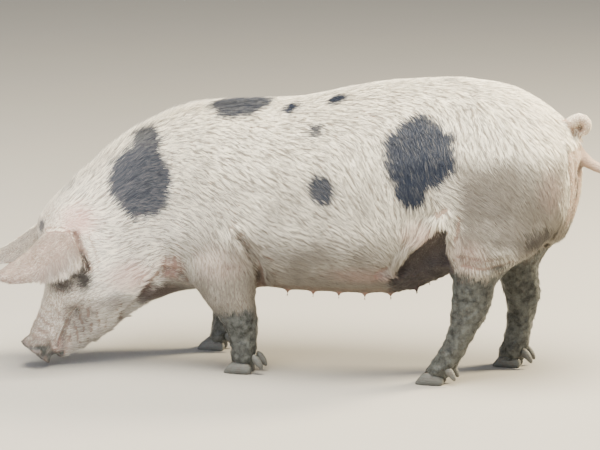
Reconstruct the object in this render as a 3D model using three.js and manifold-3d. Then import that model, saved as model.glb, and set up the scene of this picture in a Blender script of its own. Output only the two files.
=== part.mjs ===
// A spotted, lop-eared sow at life size, standing and rooting: her head is down and turned to her left.
// Millimetres, +Z up. She faces -X and her left side is -Y. Each sub-part is one closed solid.
//
// The body is drawn straight, mirrored about y = 0, and then turnNeck swings the neck and head to the
// left. Lofts run through named sections, each given by the two ends of its height and a half width.

import * as THREE from 'three';
import { mergeVertices } from 'three/addons/utils/BufferGeometryUtils.js';
import Module from 'manifold-3d';

const wasm = await Module();
wasm.setup();

// Driving dimensions.
const GAP = 0.3; // between solids that touch
const HIP_HEIGHT = 450; // where the hind legs swing from
const SHOULDER_HEIGHT = 400; // where the forelegs swing from
const STANCE = 114; // from the middle plane to each foot
const HIND_STRIDE = 150; // the right hind foot stands this far behind the left one
const FORE_STRIDE = -133; // and the right forefoot this far ahead
const NECK_START = -250; // the neck begins to turn here
const NECK_END = -560; // and the head goes on straight from here
const HEAD_TURN = THREE.MathUtils.degToRad(30);
const EYE_RADIUS = 12.5;
const EYE_CENTRE = [-707, -61, 243];
const TAIL_THICKNESS = 32;
const TAIL_LOOP_RADIUS = 18.5;
const TAIL_CUTS = [0.14, 0.53]; // shares of its length, between root, loop and end
const CLAW_HEIGHT = 34;
const NOSTRIL_SPACING = 32;
const NOSTRIL_HALF_SIZE = [11, 8, 7]; // along the disc's height, across it and into it
const TEATS_PER_SIDE = 6;
const EAR_HALF_WIDTH = 72;
const EAR_CUP = 36;

// Materials.
const coat = { color: '#cfc5b6', roughness: 0.85, metalness: 0 };
const bareSkin = { color: '#b79487', roughness: 0.7, metalness: 0 };
const mud = { color: '#75695c', roughness: 0.95, metalness: 0 };
const horn = { color: '#4b4038', roughness: 0.6, metalness: 0 };
const eyeball = { color: '#2a1a12', roughness: 0.1, metalness: 0 };

// ---------------------------------------------------------------- helpers

/** Swings a point of the straight body round with the neck, which bends in an even arc. */
function turnNeck([x, y, z]) {
  if (x >= NECK_START) return [x, y, z];
  const length = NECK_START - NECK_END;
  const radius = length / HEAD_TURN;
  const angle = Math.min((NECK_START - x) / radius, HEAD_TURN);
  const ahead = Math.max(NECK_END - x, 0);
  return [
    NECK_START - Math.sin(angle) * (radius + y) - ahead * Math.cos(HEAD_TURN),
    (Math.cos(angle) - 1) * radius + Math.cos(angle) * y - ahead * Math.sin(HEAD_TURN),
    z,
  ];
}

/** A geometry's closed solid, with its faces pointing out. */
function solid(geometry) {
  const bare = new THREE.BufferGeometry();
  bare.setAttribute('position', geometry.getAttribute('position'));
  bare.setIndex(geometry.index);
  const merged = mergeVertices(bare, 1e-3);
  const triVerts = [];
  for (let i = 0; i < merged.index.count; i += 3) {
    const [a, b, c] = [0, 1, 2].map((k) => merged.index.getX(i + k));
    if (a !== b && b !== c && c !== a) triVerts.push(a, b, c);
  }
  const build = () => new wasm.Manifold(new wasm.Mesh({
    numProp: 3,
    vertProperties: new Float32Array(merged.attributes.position.array),
    triVerts: new Uint32Array(triVerts),
  }));
  const made = build();
  if (made.volume() > 0) return made;
  triVerts.reverse();
  return build();
}

/** A solid's surface as a geometry with shared vertices. */
function geometryOf(made) {
  const { vertProperties, triVerts } = made.getMesh();
  const geometry = new THREE.BufferGeometry();
  geometry.setAttribute('position', new THREE.BufferAttribute(vertProperties, 3));
  geometry.setIndex(new THREE.BufferAttribute(triVerts, 1));
  return geometry;
}

/** The solid grown outwards by the gap, to cut a neighbour back with. */
function swollen(made, by = GAP) {
  const geometry = geometryOf(made);
  geometry.computeVertexNormals();
  const { position, normal } = geometry.attributes;
  for (let i = 0; i < position.count; i += 1) {
    position.setXYZ(
      i,
      position.getX(i) + by * normal.getX(i),
      position.getY(i) + by * normal.getY(i),
      position.getZ(i) + by * normal.getZ(i),
    );
  }
  return solid(geometry);
}

/** The largest piece of a solid that a cut may have left in several. */
function largest(made) {
  return made.decompose().sort((a, b) => b.volume() - a.volume())[0];
}

/** Moves every vertex of a geometry to place([x, y, z]). */
function reshape(geometry, place) {
  const { position } = geometry.attributes;
  for (let i = 0; i < position.count; i += 1) {
    position.setXYZ(i, ...place([position.getX(i), position.getY(i), position.getZ(i)]));
  }
  return geometry;
}

/**
 * A closed loft through sections. Each has top and under (or front and back) as [x, z], the ends of its
 * height, its half width, the share of the height at which it is broadest, and the powers that make its
 * upper and lower half rounder (1) or squarer (less).
 */
function loft(sections, around, ringsEach, place) {
  const curve = (pick) => new THREE.CatmullRomCurve3(
    sections.map((section) => new THREE.Vector3(...pick(section))), false, 'catmullrom', 0.5);
  const tops = curve(({ top, front }) => [...(top ?? front), 0]);
  const unders = curve(({ under, back }) => [...(under ?? back), 0]);
  const shapes = curve(({ half, broadest = 0.5, y = 0 }) => [half, broadest, y]);
  const powers = curve(({ square = 1, squareTop = square }) => [square, squareTop, 0]);
  const rings = (sections.length - 1) * ringsEach;
  return reshape(new THREE.SphereGeometry(1, around, rings), ([sx, sy, sz]) => {
    const t = Math.acos(THREE.MathUtils.clamp(sy, -1, 1)) / Math.PI;
    const angle = Math.atan2(sz, sx);
    const top = tops.getPoint(t);
    const under = unders.getPoint(t);
    const { x: half, y: broadest, z: middle } = shapes.getPoint(t);
    const { x: lower, y: upper } = powers.getPoint(t);
    const power = (value) => Math.sign(value) * Math.abs(value) ** (sz > 0 ? upper : lower);
    const height = power(Math.sin(angle));
    const share = height > 0 ? broadest + (1 - broadest) * height : broadest * (1 + height);
    const x = THREE.MathUtils.lerp(under.x, top.x, share);
    const z = THREE.MathUtils.lerp(under.y, top.y, share);
    return place([x, middle + Math.max(half, 0) * power(Math.cos(angle)), z]);
  });
}

/** A closed tube along a curve, its radius given by radiusAt(t), domed at both ends. */
function tube(curve, around, rings, radiusAt) {
  const frames = curve.computeFrenetFrames(rings, false);
  return reshape(new THREE.SphereGeometry(1, around, rings), ([sx, sy, sz]) => {
    const t = Math.acos(THREE.MathUtils.clamp(sy, -1, 1)) / Math.PI;
    const ring = Math.round(t * rings);
    const end = Math.sqrt(1 - Math.max(1 - Math.min(ring, rings - ring) / 2, 0) ** 2);
    const radius = radiusAt(t) * end;
    const angle = Math.atan2(sz, sx);
    const at = curve.getPointAt(ring / rings)
      .addScaledVector(frames.normals[ring], radius * Math.cos(angle))
      .addScaledVector(frames.binormals[ring], radius * Math.sin(angle));
    return at.toArray();
  });
}

const mirrored = ([x, y, z]) => [x, -y, z];
const keep = (point) => point;
const group = new THREE.Group();

/** Adds a solid to the model as a named mesh. */
function add(name, made, look) {
  const geometry = geometryOf(made).toNonIndexed();
  geometry.computeVertexNormals();
  const mesh = new THREE.Mesh(geometry, new THREE.MeshStandardMaterial({ name, ...look }));
  mesh.name = name;
  group.add(mesh);
}

// ---------------------------------------------------------------- torso and head

// From the rump to the snout. Up to the neck the sections stand upright; then they lean over more and
// more, until those of the muzzle lie square to its axis.
const torsoSections = [
  { name: 'rump end', top: [630, 500], under: [630, 500], half: 0 },
  { name: 'buttocks', top: [618, 590], under: [614, 410], half: 95 },
  { name: 'tail root', top: [588, 643], under: [584, 362], half: 148, square: 0.92 },
  { name: 'croup', top: [525, 691], under: [518, 330], half: 182, square: 0.85 },
  { name: 'hips', top: [450, 727], under: [432, 318], half: 193, square: 0.82 },
  { name: 'flank', top: [376, 741], under: [352, 276], half: 194, broadest: 0.52, square: 0.9, squareTop: 0.88 },
  { name: 'groin', top: [302, 746], under: [280, 236], half: 197, broadest: 0.52, square: 0.9, squareTop: 0.9 },
  { name: 'loin', top: [226, 741], under: [208, 206], half: 205, square: 0.92, squareTop: 0.92 },
  { name: 'belly', top: [126, 730], under: [118, 195], half: 211, square: 0.9, squareTop: 0.92 },
  { name: 'ribs', top: [25, 709], under: [20, 193], half: 208, square: 0.9 },
  { name: 'chest', top: [-77, 686], under: [-77, 192], half: 200, square: 0.92 },
  { name: 'girth', top: [-206, 675], under: [-190, 197], half: 190, broadest: 0.48, square: 0.92 },
  { name: 'shoulder', top: [-308, 665], under: [-262, 192], half: 186, broadest: 0.46, square: 0.92 },
  { name: 'brisket', top: [-386, 649], under: [-330, 183], half: 176, broadest: 0.46 },
  { name: 'neck base', top: [-462, 615], under: [-376, 177], half: 160, broadest: 0.46 },
  { name: 'mid neck', top: [-539, 569], under: [-412, 166], half: 145, broadest: 0.46 },
  { name: 'crest', top: [-616, 506], under: [-446, 152], half: 131, broadest: 0.45 },
  { name: 'nape', top: [-690, 445], under: [-480, 141], half: 119, broadest: 0.43 },
  { name: 'poll', top: [-744, 382], under: [-516, 122], half: 108, broadest: 0.42, squareTop: 0.88 },
  { name: 'forehead', top: [-745, 330], under: [-554, 99], half: 99, broadest: 0.4, squareTop: 0.8 },
  { name: 'brow', top: [-736, 276], under: [-600, 86], half: 83, broadest: 0.44, squareTop: 0.78 },
  { name: 'cheek', top: [-727, 224], under: [-646, 106], half: 65, broadest: 0.48, squareTop: 0.74 },
  { name: 'bridge', top: [-733, 183], under: [-674, 108], half: 50, square: 0.9, squareTop: 0.72 },
  { name: 'muzzle', top: [-746, 145], under: [-694, 78], half: 42, square: 0.85, squareTop: 0.75 },
  { name: 'nose', top: [-760, 112], under: [-708, 50], half: 38, square: 0.88, squareTop: 0.8 },
  { name: 'notch', top: [-771, 88], under: [-716, 28], half: 38, square: 0.92, squareTop: 0.85 },
  { name: 'disc rear rim', top: [-790, 70], under: [-721, 13], half: 44 },
  { name: 'disc front rim', top: [-794, 62], under: [-725, 6], half: 43 },
  { name: 'disc middle', top: [-758, 32], under: [-758, 32], half: 0 },
];

// The lower jaw, from the tip of the lip back into the cheeks.
const jawSections = [
  { name: 'lip tip', top: [-708, 40], under: [-708, 40], half: 0 },
  { name: 'lip', top: [-716, 64], under: [-696, 15], half: 24, squareTop: 0.8 },
  { name: 'chin', top: [-716, 100], under: [-666, 27], half: 34, square: 0.9, squareTop: 0.75 },
  { name: 'jaw front', top: [-706, 140], under: [-635, 41], half: 44, square: 0.88, squareTop: 0.75 },
  { name: 'jaw', top: [-694, 180], under: [-600, 57], half: 57, square: 0.88, squareTop: 0.75 },
  { name: 'jowl front', top: [-664, 215], under: [-572, 74], half: 69, square: 0.9 },
  { name: 'jowl', top: [-630, 225], under: [-553, 93], half: 76, square: 0.95 },
  { name: 'throat', top: [-572, 150], under: [-572, 150], half: 0 },
];

const torso = solid(loft(torsoSections, 22, 2, turnNeck));
const jaw = solid(loft(jawSections, 12, 2, turnNeck));

/** The plane of a section of the torso, as a normal that points to the snout and its offset. */
function planeOf(sectionName) {
  const { top, under } = torsoSections.find(({ name }) => name === sectionName);
  const [a, b] = [top, under].map(([x, z]) => new THREE.Vector3(...turnNeck([x, 0, z])));
  const side = new THREE.Vector3(...turnNeck([top[0], 100, top[1]])).sub(a);
  const normal = new THREE.Vector3().subVectors(a, b).cross(side).normalize();
  if (normal.x > 0) normal.negate();
  return { normal, offset: normal.dot(a) };
}

/** One nostril: an egg-shaped hollow sunk square into the front of the disc. */
function nostril(side) {
  const { normal } = planeOf('disc front rim');
  const [x, z] = torsoSections.at(-1).top;
  const egg = new THREE.SphereGeometry(1, 8, 6).scale(...NOSTRIL_HALF_SIZE);
  const turn = new THREE.Quaternion().setFromUnitVectors(new THREE.Vector3(0, 0, 1), normal);
  return solid(egg.applyQuaternion(turn).translate(...turnNeck([x, side * NOSTRIL_SPACING / 2, z])));
}

/** Cuts a solid at a section's plane, with the gap between its two halves. */
function cutAt(made, sectionName) {
  const { normal, offset } = planeOf(sectionName);
  return {
    ahead: made.trimByPlane(normal.toArray(), offset + GAP / 2),
    behind: made.trimByPlane(normal.clone().negate().toArray(), GAP / 2 - offset),
  };
}

// ---------------------------------------------------------------- what grows from the body

/** The hollow under one flank fold, between the web of skin to the stifle and the udder. */
function groinHollow(mirror) {
  const sections = [
    { top: [132, 236], under: [132, 236], half: 0, y: -186 },
    { top: [176, 280], under: [166, 190], half: 46, y: -190 },
    { top: [232, 331], under: [222, 180], half: 66, y: -194 },
    { top: [284, 378], under: [290, 190], half: 78, y: -196 },
    { top: [330, 410], under: [352, 215], half: 82, y: -196 },
    { top: [372, 330], under: [372, 330], half: 0, y: -190 },
  ];
  return solid(loft(sections, 12, 2, mirror));
}

/** One teat under the belly, leaning outwards. */
function teat(x, y, z) {
  const cone = new THREE.LatheGeometry([
    new THREE.Vector2(0, -16),
    new THREE.Vector2(4.5, -14),
    new THREE.Vector2(7, -2),
    new THREE.Vector2(13, 10),
    new THREE.Vector2(0, 16),
  ], 6);
  return solid(cone.rotateX(Math.PI / 2).translate(x, y, z));
}

/** Both rows of teats, evenly spaced along the belly. */
function teats() {
  const made = [];
  for (let i = 0; i < TEATS_PER_SIDE; i += 1) {
    const x = -95 + i * 66;
    const z = 201 + 20 * Math.max(i - 4, 0);
    made.push(teat(x, -58, z), teat(x + 8, 58, z));
  }
  return made;
}

// ---------------------------------------------------------------- legs

// The left foreleg, from inside the shoulder to the foot.
const foreSections = [
  { name: 'top', front: [-270, 420], back: [-180, 420], half: 0, y: -100 },
  { name: 'arm', front: [-345, 370], back: [-160, 380], half: 58, y: -104 },
  { name: 'elbow', front: [-366, 296], back: [-157, 300], half: 66, y: -110 },
  { name: 'upper forearm', front: [-330, 228], back: [-162, 240], half: 58 },
  { name: 'forearm', front: [-293, 178], back: [-162, 190], half: 48 },
  { name: 'above the knee', front: [-264, 142], back: [-158, 150], half: 41 },
  { name: 'knee', front: [-245, 116], back: [-155, 122], half: 39 },
  { name: 'cannon', front: [-233, 84], back: [-157, 90], half: 33 },
  { name: 'fetlock', front: [-228, 58], back: [-158, 62], half: 34 },
  { name: 'pastern', front: [-226, 34], back: [-163, 38], half: 35 },
  { name: 'foot', front: [-224, 18], back: [-170, 16], half: 28 },
  { name: 'end', front: [-198, 8], back: [-198, 8], half: 0 },
].map((section) => ({ y: -STANCE, ...section }));

// The left hind leg, from inside the ham to the foot.
const hindSections = [
  { name: 'top', front: [400, 560], back: [480, 560], half: 0, y: -100 },
  { name: 'ham', front: [318, 470], back: [560, 470], half: 76, y: -104, square: 0.72 },
  { name: 'stifle', front: [303, 400], back: [574, 392], half: 80, y: -108, square: 0.72 },
  { name: 'thigh', front: [316, 350], back: [545, 342], half: 75, y: -112, square: 0.8 },
  { name: 'gaskin', front: [326, 305], back: [492, 308], half: 62 },
  { name: 'above the hock', front: [329, 262], back: [449, 262], half: 44 },
  { name: 'hock', front: [330, 215], back: [440, 226], half: 38 },
  { name: 'below the hock', front: [329, 172], back: [428, 180], half: 33 },
  { name: 'cannon', front: [322, 132], back: [402, 140], half: 31 },
  { name: 'lower cannon', front: [305, 92], back: [380, 100], half: 31 },
  { name: 'fetlock', front: [284, 58], back: [362, 64], half: 34 },
  { name: 'pastern', front: [268, 34], back: [345, 38], half: 36 },
  { name: 'foot', front: [262, 18], back: [332, 16], half: 29 },
  { name: 'end', front: [298, 8], back: [298, 8], half: 0 },
].map((section) => ({ y: -STANCE, ...section }));

/** A placing function for one leg: its swing from the joint at the given height, and its side. */
function stride(reach, pivotHeight, mirror) {
  return ([x, y, z]) => mirror([x + reach * Math.max(1 - z / pivotHeight, 0), y, z]);
}

/** One main claw, its flat sole on the floor. Its toe points to -X. */
function claw(x, y, width) {
  const sections = [
    { top: [30, 14], under: [30, 6], half: 0 },
    { top: [26, 24], under: [26, -6], half: width * 0.36 },
    { top: [10, CLAW_HEIGHT], under: [10, -10], half: width * 0.5 },
    { top: [-12, CLAW_HEIGHT], under: [-12, -10], half: width * 0.5 },
    { top: [-30, 22], under: [-30, -8], half: width * 0.36 },
    { top: [-40, 8], under: [-40, -3], half: width * 0.16 },
    { top: [-43, 2], under: [-43, 2], half: 0 },
  ];
  return solid(loft(sections, 8, 1, ([a, b, c]) => [x + a, y + b, Math.max(c, 0)]));
}

/** One dewclaw, a small cone behind the pastern that stays clear of the floor. */
function dewclaw(x, y) {
  const sections = [
    { top: [-12, 46], under: [-12, 46], half: 0 },
    { top: [-8, 54], under: [-12, 34], half: 8 },
    { top: [6, 46], under: [0, 22], half: 9 },
    { top: [16, 26], under: [10, 14], half: 5 },
    { top: [16, 14], under: [16, 14], half: 0 },
  ];
  return solid(loft(sections, 8, 1, ([a, b, c]) => [x + a, y + b, c]));
}

/** Adds one leg with its four claws. */
function addLeg(name, sections, heel, reach, pivotHeight, mirror, body) {
  const place = stride(reach, pivotHeight, mirror);
  const [footX, footY] = place([heel, -STANCE, 0]);
  const outward = Math.sign(footY);
  const claws = [
    ['outer_claw', claw(footX, footY + outward * 17, 30)],
    ['inner_claw', claw(footX, footY - outward * 15, 27)],
    ['outer_dewclaw', dewclaw(footX + 44, footY + outward * 22)],
    ['inner_dewclaw', dewclaw(footX + 44, footY - outward * 20)],
  ];
  let leg = solid(loft(sections, 12, 1, place)).subtract(swollen(body));
  for (const [, made] of claws) leg = leg.subtract(swollen(made));
  add(name, largest(leg), mud);
  for (const [clawName, made] of claws) add(`${name}_${clawName}`, made, horn);
}

// ---------------------------------------------------------------- tail

/** The tail's centre line: up from the root, once round the loop, then down and away. */
function tailCurve() {
  const [loopX, loopZ] = [621, 636];
  const [from, to] = [150, -170];
  const points = [[556, 0, 600], [580, 0, 628]];
  for (let degrees = from; degrees >= to; degrees -= 32) {
    const angle = THREE.MathUtils.degToRad(degrees);
    points.push([
      loopX + TAIL_LOOP_RADIUS * Math.cos(angle),
      THREE.MathUtils.mapLinear(degrees, from, to, 0, TAIL_THICKNESS + 4),
      loopZ + TAIL_LOOP_RADIUS * Math.sin(angle),
    ]);
  }
  const strand = [[607, 34, 598], [617, 30, 570], [638, 26, 546], [668, 22, 532], [704, 20, 518], [728, 20, 492], [736, 20, 455]];
  return new THREE.CatmullRomCurve3([...points, ...strand].map((p) => new THREE.Vector3(...p)));
}

/** The whole tail, thick at the root and tapering to its tip. */
function tail() {
  const radius = TAIL_THICKNESS / 2;
  const radiusAt = (t) => radius * (1.4 - 0.45 * Math.min(t * 5, 1) - 0.5 * t ** 3);
  return solid(tube(tailCurve(), 8, 34, radiusAt));
}

/** Cuts the tail across its centre line at the given shares of its length. */
function cutTail(made, shares) {
  const curve = tailCurve();
  let cut = made;
  for (const share of shares) {
    const knife = new THREE.CylinderGeometry(TAIL_THICKNESS * 0.6, TAIL_THICKNESS * 0.6, GAP, 12);
    const turn = new THREE.Quaternion().setFromUnitVectors(new THREE.Vector3(0, 1, 0), curve.getTangentAt(share));
    knife.applyQuaternion(turn).translate(...curve.getPointAt(share).toArray());
    cut = cut.subtract(solid(knife));
  }
  const middleX = (piece) => piece.boundingBox().min[0] + piece.boundingBox().max[0];
  return cut.decompose().filter((piece) => piece.volume() > 100).sort((a, b) => middleX(a) - middleX(b));
}

// ---------------------------------------------------------------- ears

/** One lop ear: a cupped leaf that hangs forward over the eye. */
function ear(mirror) {
  const spine = new THREE.CatmullRomCurve3([
    new THREE.Vector3(-662, -66, 366),
    new THREE.Vector3(-702, -104, 338),
    new THREE.Vector3(-780, -116, 286),
    new THREE.Vector3(-882, -118, 252),
  ]);
  const across = new THREE.Vector3(0.61, -0.55, -0.57).normalize();
  return solid(reshape(new THREE.SphereGeometry(1, 12, 11), ([sx, sy, sz]) => {
    const t = Math.acos(THREE.MathUtils.clamp(sy, -1, 1)) / Math.PI;
    const angle = Math.atan2(sz, sx);
    const along = spine.getPointAt(t);
    const normal = new THREE.Vector3().crossVectors(spine.getTangentAt(t), across).normalize();
    if (normal.y > 0) normal.negate();
    const inside = t > 0 && t < 1 ? 1 : 0;
    const half = inside * EAR_HALF_WIDTH * (1 - t) ** 0.45 * (0.6 + 0.4 * Math.min(t / 0.15, 1));
    const thick = inside * THREE.MathUtils.lerp(6, 2.5, t);
    const cup = inside * EAR_CUP * (1 - 0.75 * t);
    const share = Math.cos(angle);
    along.addScaledVector(across, half * share);
    along.addScaledVector(normal, thick * Math.sin(angle) - cup * share ** 2);
    return turnNeck(mirror(along.toArray()));
  }));
}

// ---------------------------------------------------------------- the sow

const eyes = [keep, mirrored].map((mirror) => {
  const geometry = new THREE.SphereGeometry(EYE_RADIUS, 12, 8);
  return solid(geometry.translate(...turnNeck(mirror(EYE_CENTRE))));
});
const ears = [keep, mirrored].map(ear);

const bodyParts = cutAt(torso, 'neck base');
const neckParts = cutAt(bodyParts.ahead, 'nape');
let trunk = bodyParts.behind;
for (const made of [keep, mirrored].map(groinHollow)) trunk = trunk.subtract(made);
for (const made of teats()) trunk = trunk.add(made);
let head = neckParts.ahead.add(jaw);
const headPlane = cutAt(head, 'nape');
head = largest(headPlane.ahead);
for (const made of eyes) head = head.subtract(swollen(made));
const faceParts = cutAt(head, 'disc rear rim');
const disc = largest(faceParts.ahead.subtract(nostril(-1)).subtract(nostril(1)));
const [tailRoot, tailLoop, tailEnd] = cutTail(tail().subtract(swollen(trunk)), TAIL_CUTS);

add('trunk', largest(trunk), coat);
add('neck', largest(neckParts.behind), coat);
add('head', largest(faceParts.behind), coat);
add('snout_disc', disc, bareSkin);
eyes.forEach((made, i) => add(i ? 'eye_right' : 'eye_left', made, eyeball));
ears.forEach((made, i) => {
  const cut = made.subtract(swollen(head)).subtract(swollen(neckParts.behind));
  add(i ? 'ear_right' : 'ear_left', largest(cut), bareSkin);
});
add('tail_root', tailRoot, coat);
add('tail_loop', tailLoop, coat);
add('tail_end', tailEnd, coat);
addLeg('foreleg_left', foreSections, -198, 0, SHOULDER_HEIGHT, keep, trunk);
addLeg('foreleg_right', foreSections, -198, FORE_STRIDE, SHOULDER_HEIGHT, mirrored, trunk);
addLeg('hind_leg_left', hindSections, 290, 0, HIP_HEIGHT, keep, trunk);
addLeg('hind_leg_right', hindSections, 290, HIND_STRIDE, HIP_HEIGHT, mirrored, trunk);

// The origin is under the middle of the whole animal, on the floor.
const box = new THREE.Box3().setFromObject(group);
const middle = box.getCenter(new THREE.Vector3());
group.position.set(-middle.x, -middle.y, -box.min.z);

export default group;
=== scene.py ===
"""A spotted, lop-eared sow at life size: one skin with her markings, short bristles over it, eyes and claws.

Body coordinates are used throughout to place things on her: millimetres, x to the rear, y to her right,
z up from the floor, with her neck drawn straight. The model's own frame is in metres and has her head
turned to her left.
"""

import math

import bmesh
import bpy
import numpy as np
from bpy.props import FloatProperty, FloatVectorProperty, IntProperty, PointerProperty
from mathutils import Matrix, Vector
from mathutils.bvhtree import BVHTree
from mathutils.kdtree import KDTree


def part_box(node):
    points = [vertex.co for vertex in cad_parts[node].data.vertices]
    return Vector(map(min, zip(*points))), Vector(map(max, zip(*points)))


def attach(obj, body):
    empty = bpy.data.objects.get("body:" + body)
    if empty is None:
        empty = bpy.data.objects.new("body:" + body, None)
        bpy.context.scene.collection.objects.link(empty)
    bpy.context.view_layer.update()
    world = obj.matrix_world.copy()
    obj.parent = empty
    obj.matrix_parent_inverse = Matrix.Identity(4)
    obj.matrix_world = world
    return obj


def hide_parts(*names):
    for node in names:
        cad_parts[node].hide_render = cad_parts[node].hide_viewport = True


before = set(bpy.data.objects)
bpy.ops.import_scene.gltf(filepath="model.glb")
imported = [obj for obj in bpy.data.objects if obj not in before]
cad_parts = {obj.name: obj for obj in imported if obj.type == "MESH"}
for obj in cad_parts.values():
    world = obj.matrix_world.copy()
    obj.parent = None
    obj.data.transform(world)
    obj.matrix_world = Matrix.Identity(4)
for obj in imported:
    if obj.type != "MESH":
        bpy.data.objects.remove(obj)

bl_info = {
    "name": "Spotted sow",
    "version": (1, 0, 0),
    "blender": (4, 5, 0),
    "location": "3D View > Sidebar > Sow",
    "description": "Builds a life-size spotted sow with a short bristle coat",
    "category": "Add Mesh",
}

# ------------------------------------------------------------------ where things are

NECK_START = -250.0  # her neck begins to turn here
NECK_END = -560.0  # and her head goes on straight from here
HEAD_TURN = math.radians(30)
NECK_RADIUS = (NECK_START - NECK_END) / HEAD_TURN
RUMP_END = 630.0  # the rearmost point of the trunk
HIND_FROM = 150.0  # the hind part of the trunk and the hind legs are behind this
EYE = (-707.0, 61.0, 243.0)  # y is outwards here and in the next four
EYE_LOOKS = (-0.62, 0.76, 0.16)
EYE_SLIT = (0.3, 0.05, 0.95)
NOSTRIL = (-760.0, 16.0, 36.0)
LIPS_APART = (-708.0, 26.0, 58.0)  # clean skin shows between the lips
EYE_RADIUS = 12.5
TEATS = 6  # on each side
TEATS_FROM = -95.0
TEATS_LAG = 8.0  # the right ones are this much further back
TEAT_SPACING = 66.0
TEAT_OUTWARDS = 58.0
TEATS_BELOW = 260.0
X, Y, Z = range(3)

LEGS = ("foreleg_left", "foreleg_right", "hind_leg_left", "hind_leg_right")
CLAWS = ("outer_claw", "inner_claw", "outer_dewclaw", "inner_dewclaw")
EARS = ("ear_left", "ear_right")
TAIL = ("tail_root", "tail_loop", "tail_end")
FLESH = ("trunk", "neck", "head", "snout_disc", *EARS, *TAIL, *LEGS)

# Her middle line from rump to snout, as (x, z), and the ears' and the tail's middle lines.
SPINE = ((640, 500), (450, 520), (126, 460), (-77, 440), (-290, 430), (-400, 390), (-500, 345),
         (-600, 280), (-670, 215), (-712, 140), (-762, 30))
EAR_LINE = ((-662, 66, 366), (-702, 104, 338), (-780, 116, 286), (-882, 118, 252))
EAR_ACROSS = (0.61, 0.55, -0.57)
TAIL_LINE = ((560, 0, 600), (582, 0, 630), (603, 3, 648), (621, 8, 655), (638, 14, 645), (640, 20, 630),
             (628, 26, 618), (613, 30, 616), (606, 34, 600), (617, 30, 570), (638, 26, 546), (668, 22, 532),
             (704, 20, 518), (728, 20, 492), (736, 20, 455))

# The gap behind each ear, which gets painted shadow (y is outwards), and its half width at each height.
BEHIND_EAR = ((-673, 90, 350), (-668, 100, 334), (-663, 106, 316), (-657, 107, 297), (-652, 106, 279),
              (-650, 104, 264))
EAR_GAP = ((262, 15), (290, 11), (350, 6))

# The slit of the mouth (y is outwards).
MOUTH = ((-712, 8, 47), (-708, 26, 57), (-701, 31, 76), (-692, 37, 97), (-687, 42, 113), (-682, 50, 130),
         (-668, 69, 152))

# Spots: centre, half sizes along x, y and z, tilt in degrees about y, and how dark (1 is full).
SPOTS = (
    ("shoulder", (-497, -112, 478), (96, 120, 92), 0, 0.95),
    ("shoulder, upper lobe", (-474, -62, 568), (44, 62, 42), 0, 0.91),
    ("withers", (-224, -30, 668), (82, 78, 72), 0, 0.95),
    ("back, front", (-85, -79, 668), (23, 25, 23), 0, 1.0),
    ("back, middle", (33, -79, 695), (27, 24, 22), 0, 1.0),
    ("ribs, upper", (-5, -155, 624), (21, 22, 19), 0, 0.85),
    ("ribs, lower", (24, -205, 488), (33, 45, 42), 18, 0.97),
    ("flank", (264, -178, 582), (92, 92, 93), 0, 1.0),
    ("flank, lower lobe", (247, -200, 498), (41, 60, 46), 0, 1.0),
    ("loin", (302, -10, 745), (24, 26, 16), 0, 0.4),
    ("poll", (-742, -22, 364), (13, 15, 18), 0, 0.8),
    ("crest", (-671, 2, 458), (26, 18, 20), 0, 0.4),
    ("right shoulder", (-300, 160, 500), (58, 90, 66), -20, 1.0),
    ("right ribs", (70, 200, 560), (64, 90, 52), 15, 1.0),
    ("right ribs, lobe", (112, 205, 520), (36, 60, 34), 0, 1.0),
    ("right flank", (440, 180, 570), (84, 110, 96), -10, 1.0),
    ("right loin", (180, 140, 690), (22, 30, 20), 0, 0.9),
    ("right neck", (-500, 120, 430), (30, 60, 34), 0, 0.9),
    ("right ham", (530, 160, 440), (22, 60, 26), 0, 0.8),
    ("mark beside the tail", (617, -84, 531), (9, 9, 4), 0, 1.0),
)

# Places on both sides given painted brown shade: the face under the ear, the throat, under the ham, the
# hollow at the corner of the mouth, the jowl, the nostrils and the curl of the tail. The cheek's patch is
# partly dark hide and the jaw's partly soiling. Centre (y is outwards), half sizes and how dark.
DARK_HIDE_AND_SHADE_PLACES = (
    ("cheek", (-655, 100, 235), (25, 40, 37), 0.97),
    ("cheek, under the ear", (-677, 96, 250), (28, 36, 22), 0.97),
    ("below the eye", (-702, 58, 224), (50, 66, 31), 0.9),
    ("throat", (-440, 65, 182), (85, 60, 46), 0.8),
    ("under the ham", (550, 135, 378), (66, 60, 38), 0.85),
    ("corner of the mouth", (-669, 62, 148), (15, 20, 17), 0.65),
    ("jaw", (-655, 55, 112), (34, 34, 26), 0.3),
    ("jowl", (-565, 88, 178), (46, 36, 28), 0.42),
    ("nostril", NOSTRIL, (11, 9, 10), 1.0),
    ("curl of the tail", (623, 11, 630), (7, 10, 7), 0.95),
)

# Places on both sides where the skin is thin and pink: centre (y is outwards), half sizes and how pink.
PINK = (
    ("root of the ear", (-660, 85, 385), (46, 60, 42), 1.0),
    ("jowl", (-535, 115, 240), (66, 50, 44), 0.75),
    ("armpit", (-415, 125, 262), (50, 50, 36), 0.5),
    ("throat", (-440, 70, 185), (60, 50, 30), 0.5),
    ("lips", (-700, 30, 50), (26, 40, 28), 0.4),
    ("fold of the flank", (265, 180, 385), (50, 60, 36), 0.6),
    ("belly", (120, 180, 262), (120, 60, 32), 0.45),
    ("thigh", (380, 165, 335), (60, 60, 50), 0.4),
    ("arm", (-250, 165, 290), (80, 60, 50), 0.3),
    ("under the tail", (618, 0, 490), (24, 60, 60), 0.1),
    ("ham", (575, 140, 500), (34, 50, 60), 0.25),
)

FLANK_FOLD = ((150, 60, 230), (350, 300, 430))  # low and high corners of its box (y is outwards)
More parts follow.
